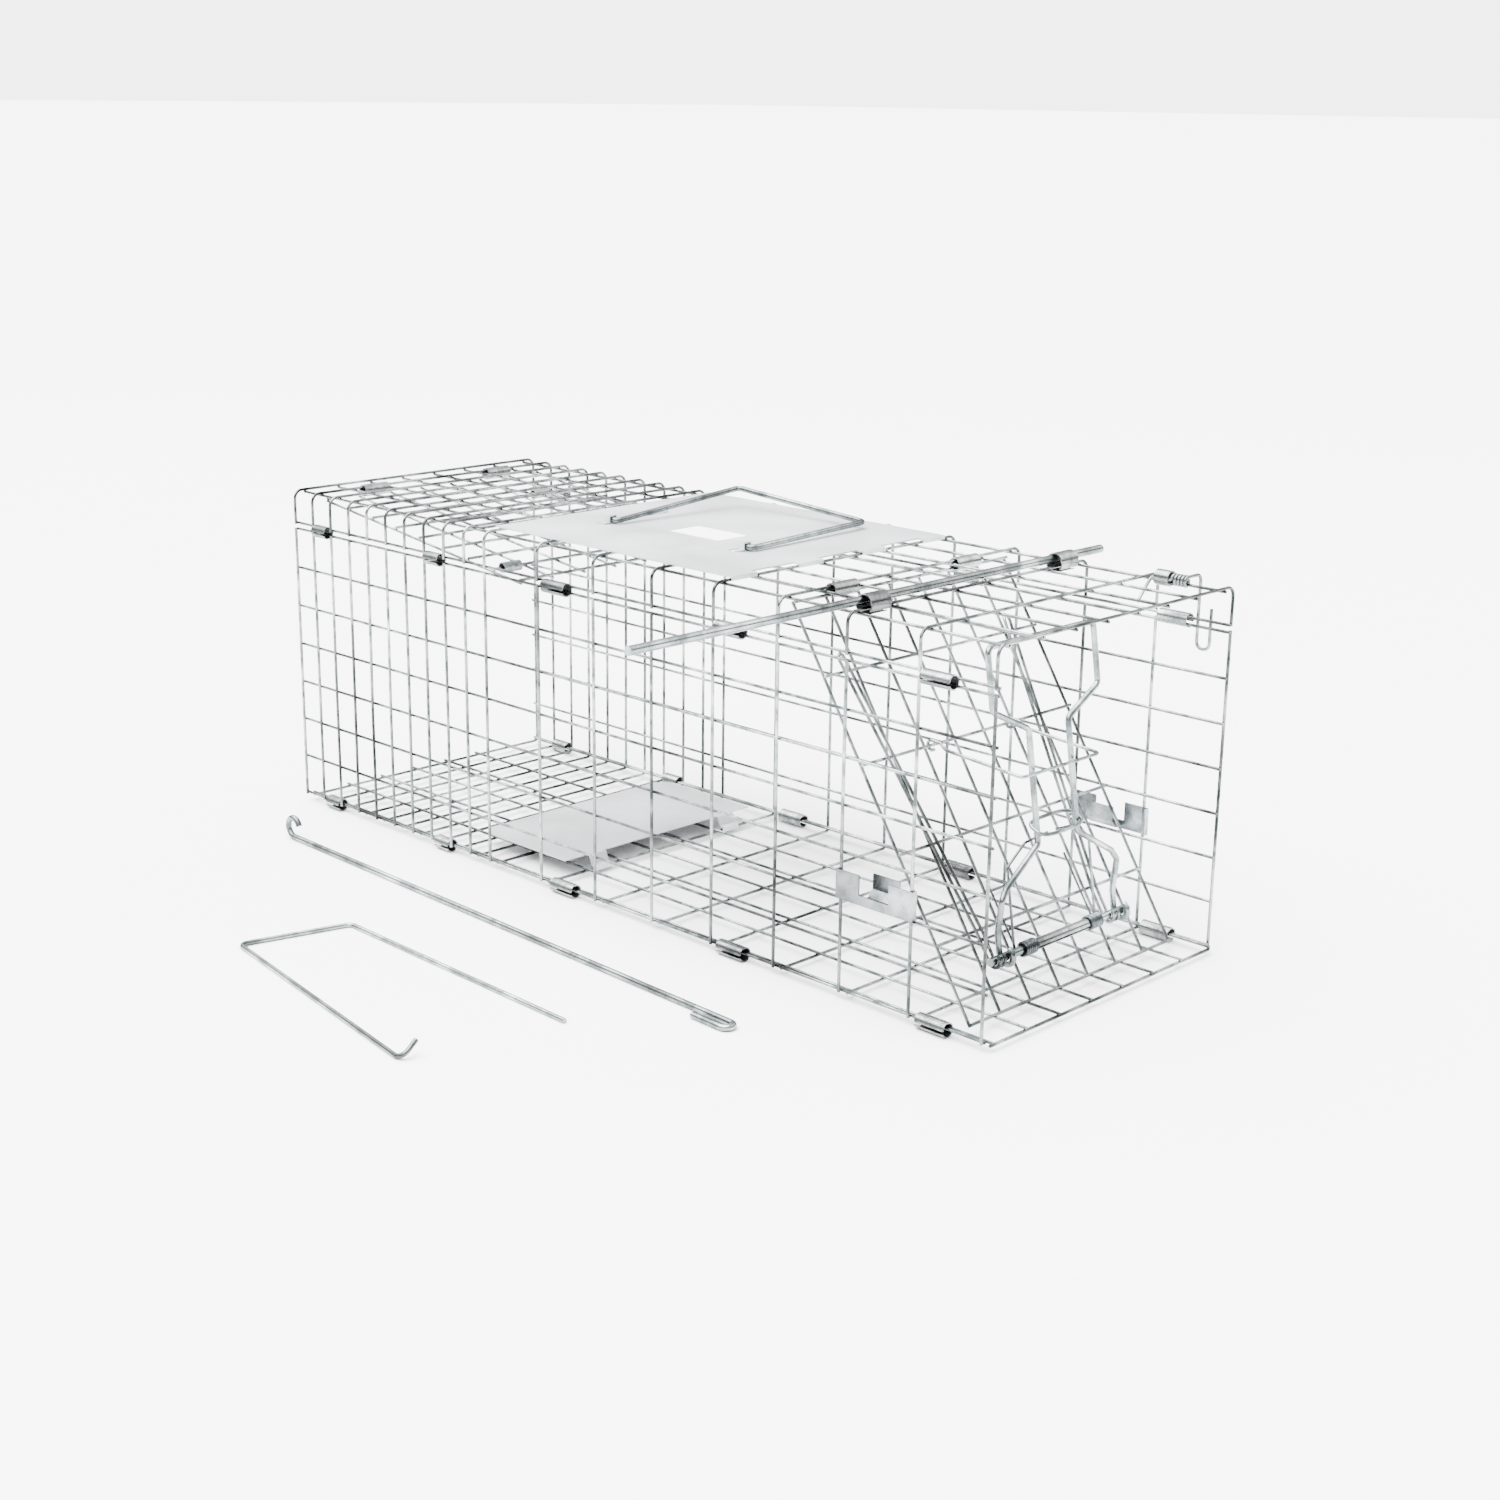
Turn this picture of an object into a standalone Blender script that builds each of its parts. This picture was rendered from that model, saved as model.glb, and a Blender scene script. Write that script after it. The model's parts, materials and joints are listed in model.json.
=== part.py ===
"""Collapsible wire live catch trap: cage, doors, lock bar, trigger parts and two loose rods.

Metres, +Z up.  The cage runs along X with its front door towards +X, and rests on the sleeves
that join its floor to its sides.
"""
import math

import bmesh
import bpy
from mathutils import Matrix, Vector

# ---- driving dimensions -------------------------------------------------------------------
cage_length = 0.600          # rearmost to foremost upright of a side panel
cage_width = 0.208           # between the middle planes of the side panels
side_gap = 0.0265            # between two level wires of a side panel
side_gap_count = 7
fine_pitch = 0.020           # close uprights at the rear
fine_gap_count = 10
coarse_gap_count = 8
skirt_height = 0.026         # top panel above the side panels
long_wire_count = 8          # lengthways wires in the floor, top and doors

bar_thick = 0.0020           # mesh thickness, and width of the crosswise wires
thin_half = 0.0008           # half width of the lengthways wires
fit_gap = 0.0004             # between pieces that touch

sleeve_wall = 0.0008
sleeve_inner = 0.0039        # inner radius of a hinge sleeve
hinge_pitch = 2 * sleeve_inner - 0.0036   # between the two wires inside a sleeve
sleeve_long = 0.020
sleeve_short = 0.014

floor_shift = 0.003          # floor panel sits this far ahead of the sides
bend_radius = 0.008          # top panel's side bends
skirt_gap = 0.0003           # between the flat top and each bent side

door_reach = 0.133           # level distance from the door's hinge to its foot
door_hinge_x = 0.150
door_row_pitch = 0.052
door_last_gap = 0.045

rear_door_length = 0.200
rear_door_droop = math.radians(7.0)
rear_door_gaps = 8

rod_thick = 0.0050           # door rod and set rod
rod_above_foot = 0.02654     # door rod up from the door's foot, along the door
rod_above_door = 0.0062
rod_near_y = -0.066
rod_far_y = 0.058
bar_wire = 0.0036            # lock bar wire
bar_length = 0.167
bar_lean = math.radians(9.0)
bar_foot_half = 0.0520
bar_wide_half = 0.0465
bar_neck_half = 0.0175
loop_wire = 0.0020
spring_wire = 0.0016
spring_turns = 6
spring_toe = 0.042           # straight end that rests on the door
spring_near_start = 0.028    # inner ends of the two springs, from the middle
spring_far_start = 0.020
arm_near_foot, arm_near_head = 0.060, 0.077
arm_far_foot, arm_far_head = 0.0425, 0.066

guide_row = 2                # the loop hangs on this row of the door
guide_half = 0.0345
guide_length = 0.0636
guide_droop = math.radians(4.3)

plate_thick = 0.0008
guard_rear_x = -0.103
guard_front_x = 0.0970
handle_wire = 0.0036
handle_rear_x = -0.057
handle_front_x = 0.060
handle_pivot_y = -0.033
handle_reach = 0.105
handle_rise = math.radians(5.0)
handle_end = 0.0085          # turned end of each leg
slot_length = 0.062          # slots in the guard plate beside the handle's legs
slot_width = 0.0045

set_rod_near_y = -0.256
set_rod_far_y = 0.121
set_rod_behind = 0.0034      # set rod behind the crosswise wire it is clipped to
set_clip_offset = 0.082
set_clip_length = 0.022

latch_start_x = 0.2665
latch_turns = 4.25
latch_wire = 0.0020

treadle_length = 0.084
treadle_above_floor = 0.0065
treadle_tab_offset = 0.057
treadle_tab_width = 0.014

catch_height = 0.0164

trigger_rod_thick = 0.0040
trigger_rod_length = 0.423
trigger_rod_front = (0.190, -0.173)
trigger_rod_turn = math.radians(1.6)
rear_rod_thick = 0.0030
rear_rod_leg = 0.197
rear_rod_width = 0.068
rear_rod_corner = (-0.075, -0.230)

# ---- places that follow from them ---------------------------------------------------------
half_long = cage_length / 2
half_wide = cage_width / 2
half_bar = bar_thick / 2
coarse_pitch = (cage_length - fine_gap_count * fine_pitch) / coarse_gap_count
sleeve_outer = sleeve_inner + sleeve_wall
sleeve_base_z = sleeve_outer * math.cos(math.radians(18))
floor_z = sleeve_base_z - 0.0009
floor_top = floor_z + half_bar
side_low_z = sleeve_base_z + 0.0008
side_high_z = side_low_z + side_gap * side_gap_count
skirt_wire_z = side_high_z + hinge_pitch
top_z = side_high_z + skirt_height
top_under = top_z - half_bar
top_over = top_z + half_bar
floor_half = half_wide - hinge_pitch
door_half_width = half_wide - 0.013
guard_half_width = half_wide - 0.012
treadle_half_width = half_wide - 0.022
catch_low = side_low_z + 2 * side_gap + 0.0013
top_long_half = half_wide - bend_radius - thin_half
door_clip_offset = (3 * top_long_half + 5 * door_half_width) / 14   # between two lengthways wires
set_rod_r = rod_thick / 2
wire_xs = [-half_long + fine_pitch * i for i in range(fine_gap_count + 1)]
wire_xs += [wire_xs[-1] + coarse_pitch * i for i in range(1, coarse_gap_count + 1)]
floor_xs = [x + floor_shift for x in wire_xs]
side_zs = [side_low_z + side_gap * i for i in range(side_gap_count + 1)]

door_hinge_z = top_z - hinge_pitch - 0.0002
door_drop = door_hinge_z - floor_top - half_bar - 0.0010
door_length = math.hypot(door_reach, door_drop)
door_angle = math.atan2(door_drop, door_reach)
rod_down_door = door_length - rod_above_foot
door_rows = [door_length - door_last_gap - door_row_pitch * i for i in range(4)][::-1]
door_rows = [0.0] + door_rows + [door_length]
rear_hinge = Vector((wire_xs[1], 0, door_hinge_z))
plate_wire_x = wire_xs[fine_gap_count + 4]
set_wire_x = wire_xs[-3]
treadle_pivot_x = floor_xs[fine_gap_count + 1]
bar_r = bar_wire / 2
rod_r = rod_thick / 2


def spaced(half, count):
    """Evenly spaced values from -half to +half."""
    return [-half + 2 * half * i / (count - 1) for i in range(count)]


# ---- helpers ------------------------------------------------------------------------------
materials = {}


def material(name, colour, roughness, metallic=1.0):
    found = bpy.data.materials.new(name)
    found.use_nodes = True
    shader = found.node_tree.nodes["Principled BSDF"]
    shader.inputs["Base Color"].default_value = (*colour, 1)
    shader.inputs["Roughness"].default_value = roughness
    shader.inputs["Metallic"].default_value = metallic
    materials[name] = found


def empty(name, place, parent=None):
    """An empty on a joint's axis; place is in the cage's frame."""
    thing = bpy.data.objects.new(name, None)
    bpy.context.collection.objects.link(thing)
    thing.parent = parent or frame_empty
    base = parent["place"] if parent else (0, 0, 0)
    thing.location = Vector(place) - Vector(base)
    thing["place"] = tuple(place)
    return thing


def add(name, data, finish, parent=None):
    """Links an object whose data is in the cage's frame, with its origin on its parent."""
    thing = bpy.data.objects.new(name, data)
    bpy.context.collection.objects.link(thing)
    data.materials.append(materials[finish])
    thing.parent = parent or frame_empty
    if parent:
        data.transform(Matrix.Translation(-Vector(parent["place"])))
    return thing


def mesh_from(bm, name):
    bmesh.ops.recalc_face_normals(bm, faces=bm.faces)
    if bm.calc_volume(signed=True) < 0:
        bmesh.ops.reverse_faces(bm, faces=bm.faces)
    mesh = bpy.data.meshes.new(name)
    bm.to_mesh(mesh)
    bm.free()
    return mesh


def spans(centres, half, extra=()):
    """Cuts along one direction of a mesh panel: edges of each wire, and which strips are wire."""
    cuts = []
    for centre in centres:
        cuts += [(centre - half, True), (centre + half, False)]
    cuts += [(value, False) for value in extra]
    cuts.sort()
    return [value for value, _ in cuts], [flag for _, flag in cuts[:-1]]


def panel(name, rows, row_half, lines, line_half, place, extra=()):
    """Welded mesh: rows are crosswise wires along the first direction, lines lengthways ones.

    place(u, v, w) turns panel distances into a point, w being half the thickness out or in.
    """
    us, u_wire = spans(rows, row_half)
    vs, v_wire = spans(lines, line_half, extra)
    bm = bmesh.new()
    grid = [[bm.verts.new((u, v, -half_bar)) for v in vs] for u in us]
    for i, solid_u in enumerate(u_wire):
        for j, solid_v in enumerate(v_wire):
            if solid_u or solid_v:
                corners = (grid[i][j], grid[i + 1][j], grid[i + 1][j + 1], grid[i][j + 1])
                bm.faces.new(corners)
    raised = bmesh.ops.extrude_face_region(bm, geom=bm.faces[:])
    tops = [item for item in raised["geom"] if isinstance(item, bmesh.types.BMVert)]
    bmesh.ops.translate(bm, verts=tops, vec=(0, 0, bar_thick))
    for vert in bm.verts:
        vert.co = place(*vert.co)
    return mesh_from(bm, name)


def wire(name, points, thick, finish, parent=None, sides=6):
    """A round wire along a list of points, with closed ends."""
    curve = bpy.data.curves.new(name, "CURVE")
    curve.dimensions = "3D"
    curve.bevel_depth = thick / 2
    curve.bevel_resolution = (sides - 4) // 2
    curve.use_fill_caps = True
    line = curve.splines.new("POLY")
    line.points.add(len(points) - 1)
    for spot, point in zip(line.points, points):
        spot.co = (*point, 1)
    line.use_smooth = True
    return add(name, curve, finish, parent)


def rounded(points, radius, steps=3):
    """The same route with each corner replaced by an arc of the given radius."""
    route = [Vector(points[0])]
    for before, corner, after in zip(points, points[1:], points[2:]):
        before, corner, after = Vector(before), Vector(corner), Vector(after)
        to_before = (before - corner).normalized()
        to_after = (after - corner).normalized()
        turn = to_before.angle(to_after)
        reach = radius / math.tan(turn / 2)
        centre = corner + (to_before + to_after).normalized() * radius / math.sin(turn / 2)
        start = corner + to_before * reach - centre
        end = corner + to_after * reach - centre
        sweep = start.angle(end)
        for i in range(steps + 1):
            share = i / steps
            mixed = start * math.sin((1 - share) * sweep) + end * math.sin(share * sweep)
            route.append(centre + mixed / math.sin(sweep))
    route.append(Vector(points[-1]))
    return route


def tube(name, centre, axis, length, inner, outer, finish, parent=None, sides=10):
    """An open sleeve with a flat side turned down, made by spinning its wall's outline."""
    bm = bmesh.new()
    profile = []
    for radius, end in ((inner, -1), (outer, -1), (outer, 1), (inner, 1)):
        profile.append(bm.verts.new((end * length / 2, 0, radius)))
    edges = [bm.edges.new((profile[i], profile[(i + 1) % 4])) for i in range(4)]
    turn = Matrix.Rotation(math.pi / sides, 4, "X")
    bmesh.ops.transform(bm, matrix=turn, verts=bm.verts)
    bmesh.ops.spin(bm, geom=profile + edges, cent=(0, 0, 0), axis=(1, 0, 0),
                   angle=math.tau, steps=sides, use_merge=True)
    bmesh.ops.remove_doubles(bm, verts=bm.verts, dist=0.00001)
    if axis == "Y":
        bmesh.ops.rotate(bm, verts=bm.verts, matrix=Matrix.Rotation(math.pi / 2, 3, "Z"))
    bmesh.ops.translate(bm, verts=bm.verts, vec=centre)
    return add(name, mesh_from(bm, name), finish, parent)


def strip(outline, thick, low, high, place):
    """Sheet metal bent along an open outline (points a, b), between two levels of c."""
    bm = bmesh.new()
    points = [Vector((a, b)) for a, b in outline]
    sides = []
    for i, point in enumerate(points):
        ahead = points[min(i + 1, len(points) - 1)] - point if i < len(points) - 1 else None
        behind = point - points[i - 1] if i else None
        normals = [Vector((-d.y, d.x)).normalized() for d in (behind, ahead) if d]
        normal = sum(normals, Vector((0, 0))).normalized()
        offset = normal * thick / 2 / max(normal.dot(normals[0]), 0.3)
        sides.append((point + offset, point - offset))
    ring = [left for left, _ in sides] + [right for _, right in reversed(sides)]
    face = bm.faces.new([bm.verts.new((p.x, p.y, low)) for p in ring])
    lifted = bmesh.ops.extrude_face_region(bm, geom=[face])
    verts = [item for item in lifted["geom"] if isinstance(item, bmesh.types.BMVert)]
    bmesh.ops.translate(bm, verts=verts, vec=(0, 0, high - low))
    bmesh.ops.triangulate(bm, faces=bm.faces)
    for vert in bm.verts:
        vert.co = place(*vert.co)
    return bm


def block(low, high):
    """A plain box between two corners."""
    bm = bmesh.new()
    bmesh.ops.create_cube(bm, size=1)
    low, high = Vector(low), Vector(high)
    bmesh.ops.scale(bm, verts=bm.verts, vec=high - low)
    bmesh.ops.translate(bm, verts=bm.verts, vec=(low + high) / 2)
    return bm


def combine(thing, bm, operation):
    """Joins or cuts a hidden helper solid with an exact Boolean."""
    helper = bpy.data.objects.new(thing.name + "_tool", mesh_from(bm, thing.name + "_tool"))
    bpy.context.collection.objects.link(helper)
    helper.parent = thing.parent
    helper.hide_render = True
    helper.display_type = "WIRE"
    if thing.parent != frame_empty:
        helper.data.transform(Matrix.Translation(-Vector(thing.parent["place"])))
    step = thing.modifiers.new(operation.title(), "BOOLEAN")
    step.operation = operation
    step.solver = "EXACT"
    step.object = helper
    return thing


def coil(centre, axis, radius, wire_thick, turns, steps=10, start=0.0, way=1):
    """Points of a close helix along X or Y through its centre line."""
    points = []
    pitch = wire_thick * 1.12
    count = round(turns * steps)
    for i in range(count + 1):
        angle = start + way * math.tau * i / steps
        along = pitch * (i / steps - turns / 2)
        if axis == "Y":
            points.append(Vector(centre) + Vector((radius * math.cos(angle), along, radius * math.sin(angle))))
        else:
            points.append(Vector(centre) + Vector((along, radius * math.cos(angle), radius * math.sin(angle))))
    return points


# ---- cage ---------------------------------------------------------------------------------
def make_floor():
    place = lambda u, v, w: (u, v, floor_z + w)
    data = panel("floor_panel", floor_xs, half_bar, spaced(floor_half, long_wire_count), thin_half, place)
    add("floor_panel", data, "wire")


def make_side(name, side):
    place = lambda u, v, w: (u, side * (half_wide + w), v)
    data = panel(name, wire_xs, half_bar, side_zs, thin_half, place)
    add(name, data, "wire")


def make_top():
    """Flat mesh whose crosswise wires bend down at both sides; each bent side is a node of its own."""
    flat = top_long_half + thin_half
    arc = bend_radius * math.pi / 2
    skirt_end = flat + arc + (top_z - bend_radius - skirt_wire_z)

    def place(u, v, w):
        side = -1 if v < 0 else 1
        past = abs(v) - flat
        if past <= 0:
            return (u, v, top_z + w)
        angle = min(past, arc) / bend_radius
        down = max(past - arc, 0)
        y = flat + (bend_radius + w) * math.sin(angle)
        z = top_z - bend_radius + (bend_radius + w) * math.cos(angle) - down
        return (u, side * y, z)

    lines = spaced(top_long_half, long_wire_count)
    add("top_panel", panel("top_panel", wire_xs, half_bar, lines, thin_half, place), "wire")
    for side, word in ((-1, "near"), (1, "far")):
        name = f"top_skirt_{word}"
        bends = [side * (flat + skirt_gap), side * (flat + arc)]
        data = panel(name, wire_xs, half_bar, [side * skirt_end], thin_half, place, bends)
        add(name, data, "wire")


def make_edge_sleeves():
    """Crimped sleeves, five along each of the four long edges, each round two edge wires."""
    mid_fine = [-half_long + fine_pitch * (gap + 0.5) for gap in (1, 7)]
    least = sleeve_long / 2 + 0.003
    mid_coarse = [-half_long + fine_gap_count * fine_pitch + coarse_pitch * gap + max(coarse_pitch * share, least)
                  for gap, share in ((1, 0.34), (4, 0.26), (7, 0.26))]
    top_mid = (side_high_z + skirt_wire_z) / 2
    for side, word in ((-1, "near"), (1, "far")):
        for i, x in enumerate(mid_fine + mid_coarse):
            length = sleeve_short if i < 2 else sleeve_long
            clear_x = x + (floor_shift / 2 if i < 2 else floor_shift)
            low = (clear_x, side * (half_wide - hinge_pitch / 2), sleeve_base_z)
            tube(f"floor_sleeve_{word}_{i + 1}", low, "X", length, sleeve_inner, sleeve_outer, "sleeve")
            high = (x, side * half_wide, top_mid)
            tube(f"top_sleeve_{word}_{i + 1}", high, "X", length, sleeve_inner, sleeve_outer, "sleeve")


# ---- front door ---------------------------------------------------------------------------
def on_door(along, across, lift):
    """A point given down the door from its hinge, across it, and out from its middle plane."""
    down = Vector((math.cos(door_angle), 0, -math.sin(door_angle)))
    out = Vector((math.sin(door_angle), 0, math.cos(door_angle)))
    return Vector((door_hinge_x, across, door_hinge_z)) + down * along + out * lift


def make_front_door(pivot):
    lines = spaced(door_half_width, long_wire_count)
    data = panel("front_door", door_rows, half_bar, lines, thin_half, on_door)
    add("front_door", data, "wire", pivot)
    middle = (door_hinge_z + top_z) / 2
    for side, word in ((-1, "near"), (1, "far")):
        centre = (door_hinge_x, side * door_clip_offset, middle)
        tube(f"door_sleeve_{word}", centre, "Y", sleeve_long, sleeve_inner, sleeve_outer, "sleeve")


def make_door_rod(pivot):
    ends = [on_door(rod_down_door, y, rod_above_door) for y in (rod_near_y, rod_far_y)]
    wire("door_rod", ends, rod_thick, "rod", pivot, 8)
    centre = on_door(rod_down_door, (spring_far_start - spring_near_start) / 2, rod_above_door)
    bore = rod_r + fit_gap
    length = spring_far_start + spring_near_start - 0.0024
    tube("door_rod_spacer", centre, "Y", length, bore, bore + sleeve_wall, "sleeve", pivot, 8)


def eye(centre, first, second, radius, turn, steps=8):
    """Points round a pin, from the first direction towards the second."""
    return [centre + (first * math.cos(turn * i / steps) + second * math.sin(turn * i / steps)) * radius
            for i in range(steps + 1)]


def make_hairpin_arm(name, side, foot, head, pivot):
    """A wire doubled back on itself down the door, whose two ends hook under the door rod."""
    half = 0.0022
    hook = rod_r + fit_gap + loop_wire / 2
    rest = half_bar + fit_gap + loop_wire / 2
    down, out = on_door(1, 0, 0) - on_door(0, 0, 0), on_door(0, 0, 1) - on_door(0, 0, 0)

    def leg(offset):
        pin = on_door(rod_down_door, side * foot + offset, rod_above_door)
        around = eye(pin, -out, down, hook, math.radians(200))
        approach = on_door(rod_down_door - 0.016, side * foot + offset, rest)
        return [approach] + around

    top = 0.034
    start, end = leg(-half), leg(half)
    low_a = on_door(top + 0.004, side * head - half, rest)
    low_b = on_door(top + 0.004, side * head + half, rest)
    crown = on_door(top, side * head, rest)
    wire(name, start[::-1] + [low_a, crown, low_b] + end, loop_wire, "wire", pivot)


# ---- lock bar -----------------------------------------------------------------------------
bar_up = Vector((-math.sin(bar_lean), 0, math.cos(bar_lean)))
bar_out = Vector((math.cos(bar_lean), 0, math.sin(bar_lean)))


def on_bar(along, across, out=0.0):
    """A point up the lock bar from the door rod."""
    return on_door(rod_down_door, across, rod_above_door) + bar_up * along + bar_out * out


def make_lock_bar(pivot):
    """One bottle-shaped wire: an eye round the rod, a narrow neck and a wide head."""
    hook = rod_r + fit_gap + bar_r

    def foot(side):
        ring = eye(on_bar(0, side * bar_foot_half), -bar_out, -bar_up, hook, math.radians(240))
        return [on_bar(0.012, side * bar_foot_half, -hook)] + ring

    corners = [(0.030, bar_foot_half), (0.036, bar_wide_half + 0.001), (0.054, bar_neck_half),
               (0.118, bar_neck_half), (0.132, bar_wide_half), (bar_length, bar_wide_half)]
    rise = [on_bar(along, -half) for along, half in corners]
    fall = [on_bar(along, half) for along, half in reversed(corners)]
    near, far = foot(-1), foot(1)
    body = rounded([near[0]] + rise + fall + [far[0]], 0.004, 2)
    wire("lock_bar", near[1:][::-1] + body + far[1:], bar_wire, "rod", pivot, 6)


def make_neck_link(pivot):
    """Small sheet loop that ties the two neck wires together."""
    half = bar_neck_half + bar_r + fit_gap + plate_thick / 2
    deep = bar_r + fit_gap + plate_thick / 2
    outline = [(-half, 0.0), (-half, -deep), (half, -deep), (half, deep), (-half + 0.003, deep)]
    place = lambda a, b, c: on_bar(c, a, b)
    add("neck_link", mesh_from(strip(outline, plate_thick, 0.059, 0.066, place), "neck_link"), "sheet", pivot)


def make_lock_spring(word, side, start, door_pivot, bar_pivot):
    """Torsion spring on the door rod; its upper leg follows the lock bar."""
    radius = rod_r + fit_gap + spring_wire / 2
    length = spring_wire * 1.12 * spring_turns
    middle = start + length / 2
    centre = on_door(rod_down_door, side * middle, rod_above_door)
    outer = side * (middle + length / 2)
    toward = on_door(0, 0, 0) - on_door(1, 0, 0)
    angle = math.atan2(toward.z, toward.x)
    turns = coil((0, 0, 0), "Y", radius, spring_wire, spring_turns, 8, angle + math.pi / 2, -1)
    turns = [Vector((p.x, side * p.y, p.z)) + centre for p in turns]
    rest = half_bar + fit_gap + spring_wire / 2
    toe = on_door(rod_down_door - spring_toe, outer, rest)
    wire(f"lock_spring_{word}", turns + [toe], spring_wire, "spring", door_pivot, 4)
    behind = -(rod_r + fit_gap + spring_wire / 2)
    low = side * (start + length + 0.0018)
    route = [on_bar(0.0, low, behind), on_bar(0.046, low, behind), on_bar(0.056, side * 0.024, behind),
             on_bar(0.0575, side * 0.004, behind)]
    wire(f"lock_spring_leg_{word}", route, spring_wire, "spring", bar_pivot, 4)


def make_guide_loop(pivot):
    """U-shaped wire hooked on a row of the door, round the lock bar's neck."""
    hook = half_bar * math.sqrt(2) + fit_gap + loop_wire / 2
    ahead = Vector((math.cos(guide_droop), 0, -math.sin(guide_droop)))
    above = Vector((math.sin(guide_droop), 0, math.cos(guide_droop)))

    def at(reach, across, lift=0.0):
        return on_door(door_rows[guide_row], across, 0) + ahead * reach + above * lift

    def end(side):
        pin = at(0, side * guide_half)
        return [at(0.006, side * guide_half, hook)] + eye(pin, above, -ahead, hook, math.radians(230))

    near, far = end(-1), end(1)
    bends = [at(0.010, -guide_half), at(guide_length, -guide_half), at(guide_length, guide_half),
             at(0.010, guide_half)]
    body = rounded([near[0]] + bends + [far[0]], 0.003, 2)
    wire("guide_loop", near[1:][::-1] + body + far[1:], loop_wire, "wire", pivot)


# ---- rear door ----------------------------------------------------------------------------
def on_rear_door(along, across, lift):
    ahead = Vector((math.cos(rear_door_droop), 0, -math.sin(rear_door_droop)))
    above = Vector((math.sin(rear_door_droop), 0, math.cos(rear_door_droop)))
    return rear_hinge + ahead * along + Vector((0, across, 0)) + above * lift


def make_rear_door(pivot):
    rows = [rear_door_length * i / rear_door_gaps for i in range(rear_door_gaps + 1)]
    lines = spaced(door_half_width, long_wire_count)
    add("rear_door", panel("rear_door", rows, half_bar, lines, thin_half, on_rear_door), "wire", pivot)
    for side, word in ((-1, "near"), (1, "far")):
        centre = (rear_hinge.x, side * door_clip_offset, (rear_hinge.z + top_z) / 2)
        tube(f"rear_sleeve_{word}", centre, "Y", sleeve_long, sleeve_inner, sleeve_outer, "sleeve")
    for across, row, word in ((-0.078, 7, "near"), (0.052, 2, "far")):
        tip = on_rear_door(rows[row], across, 0)
        tube(f"rear_row_sleeve_{word}", tip, "Y", sleeve_short, 0.0030, 0.0038, "sleeve", pivot)


# ---- top fittings -------------------------------------------------------------------------
guard_low = top_over + 0.0003
guard_high = guard_low + plate_thick


def make_guard():
    """Flat guard sheet with four tabs bent over a crosswise wire at its front edge."""
    guard = add("guard_plate", mesh_from(block((guard_rear_x, -guard_half_width, guard_low),
                (guard_front_x, guard_half_width, guard_high)), "guard_plate"), "sheet")
    tab_x = plate_wire_x + half_bar + fit_gap + plate_thick / 2
    middle = (guard_low + guard_high) / 2
    outline = [(guard_front_x - 0.002, middle), (tab_x, middle), (tab_x, top_under + 0.0006)]
    pitch = 2 * top_long_half / (long_wire_count - 1)
    for gap in (0.5, 2.5, 4.5, 6.5):
        y = -top_long_half + pitch * gap
        tab = strip(outline, plate_thick, y - 0.010, y + 0.010, lambda a, b, c: (a, c, b))
        combine(guard, tab, "UNION")
    for leg_x in (handle_rear_x, handle_front_x):
        edge = leg_x - handle_end - 0.0006
        start = handle_pivot_y - 0.007
        slot = block((edge - slot_width, start, guard_low - 0.001),
                     (edge, start + slot_length, guard_high + 0.001))
        combine(guard, slot, "DIFFERENCE")
    return guard


def make_handle(pivot):
    """Wire bail, lying a little raised, whose turned ends sit in two lugs."""
    def at(x, reach):
        return (x, handle_pivot_y + reach * math.cos(handle_rise),
                handle_level + reach * math.sin(handle_rise))

    corners = [at(handle_rear_x - handle_end, 0), at(handle_rear_x, 0), at(handle_rear_x, handle_reach),
               at(handle_front_x, handle_reach), at(handle_front_x, 0), at(handle_front_x - handle_end, 0)]
    wire("carry_handle", rounded(corners, 0.0035, 2), handle_wire, "rod", pivot, 8)


def make_handle_lug(name, leg_x):
    """Small strap over the turned end of one handle leg, standing on the guard plate."""
    room = handle_wire / 2 + fit_gap + plate_thick / 2
    base = guard_high + 0.0003 + plate_thick / 2
    crest = handle_level + room
    outline = [(-room - 0.004, base), (-room, base), (-room, crest), (room, crest), (room, base),
               (room + 0.004, base)]
    place = lambda a, b, c: (c, handle_pivot_y + a, b)
    low = leg_x - handle_end + 0.0004
    add(name, mesh_from(strip(outline, plate_thick, low, low + 0.0042, place), name), "sheet")


handle_level = guard_high + fit_gap + handle_wire / 2


def make_set_rod(pivot):
    ends = [(set_rod_x, y, set_rod_z) for y in (set_rod_near_y, set_rod_far_y)]
    wire("set_rod", ends, rod_thick, "rod", pivot, 8)
    middle = Vector((set_rod_x + set_wire_x, 0, set_rod_z + top_z)) / 2
    reach = math.hypot(set_rod_x - middle.x, set_rod_z - middle.z) + set_rod_r + fit_gap
    inner = reach / math.cos(math.radians(18))
    for side, word in ((-1, "near"), (1, "far")):
        centre = middle + Vector((0, side * set_clip_offset, 0))
        tube(f"set_rod_clip_{word}", centre, "Y", set_clip_length, inner, inner + sleeve_wall, "sleeve")


set_rod_x = set_wire_x - set_rod_behind
set_rod_z = top_over + set_rod_r + fit_gap


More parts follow.
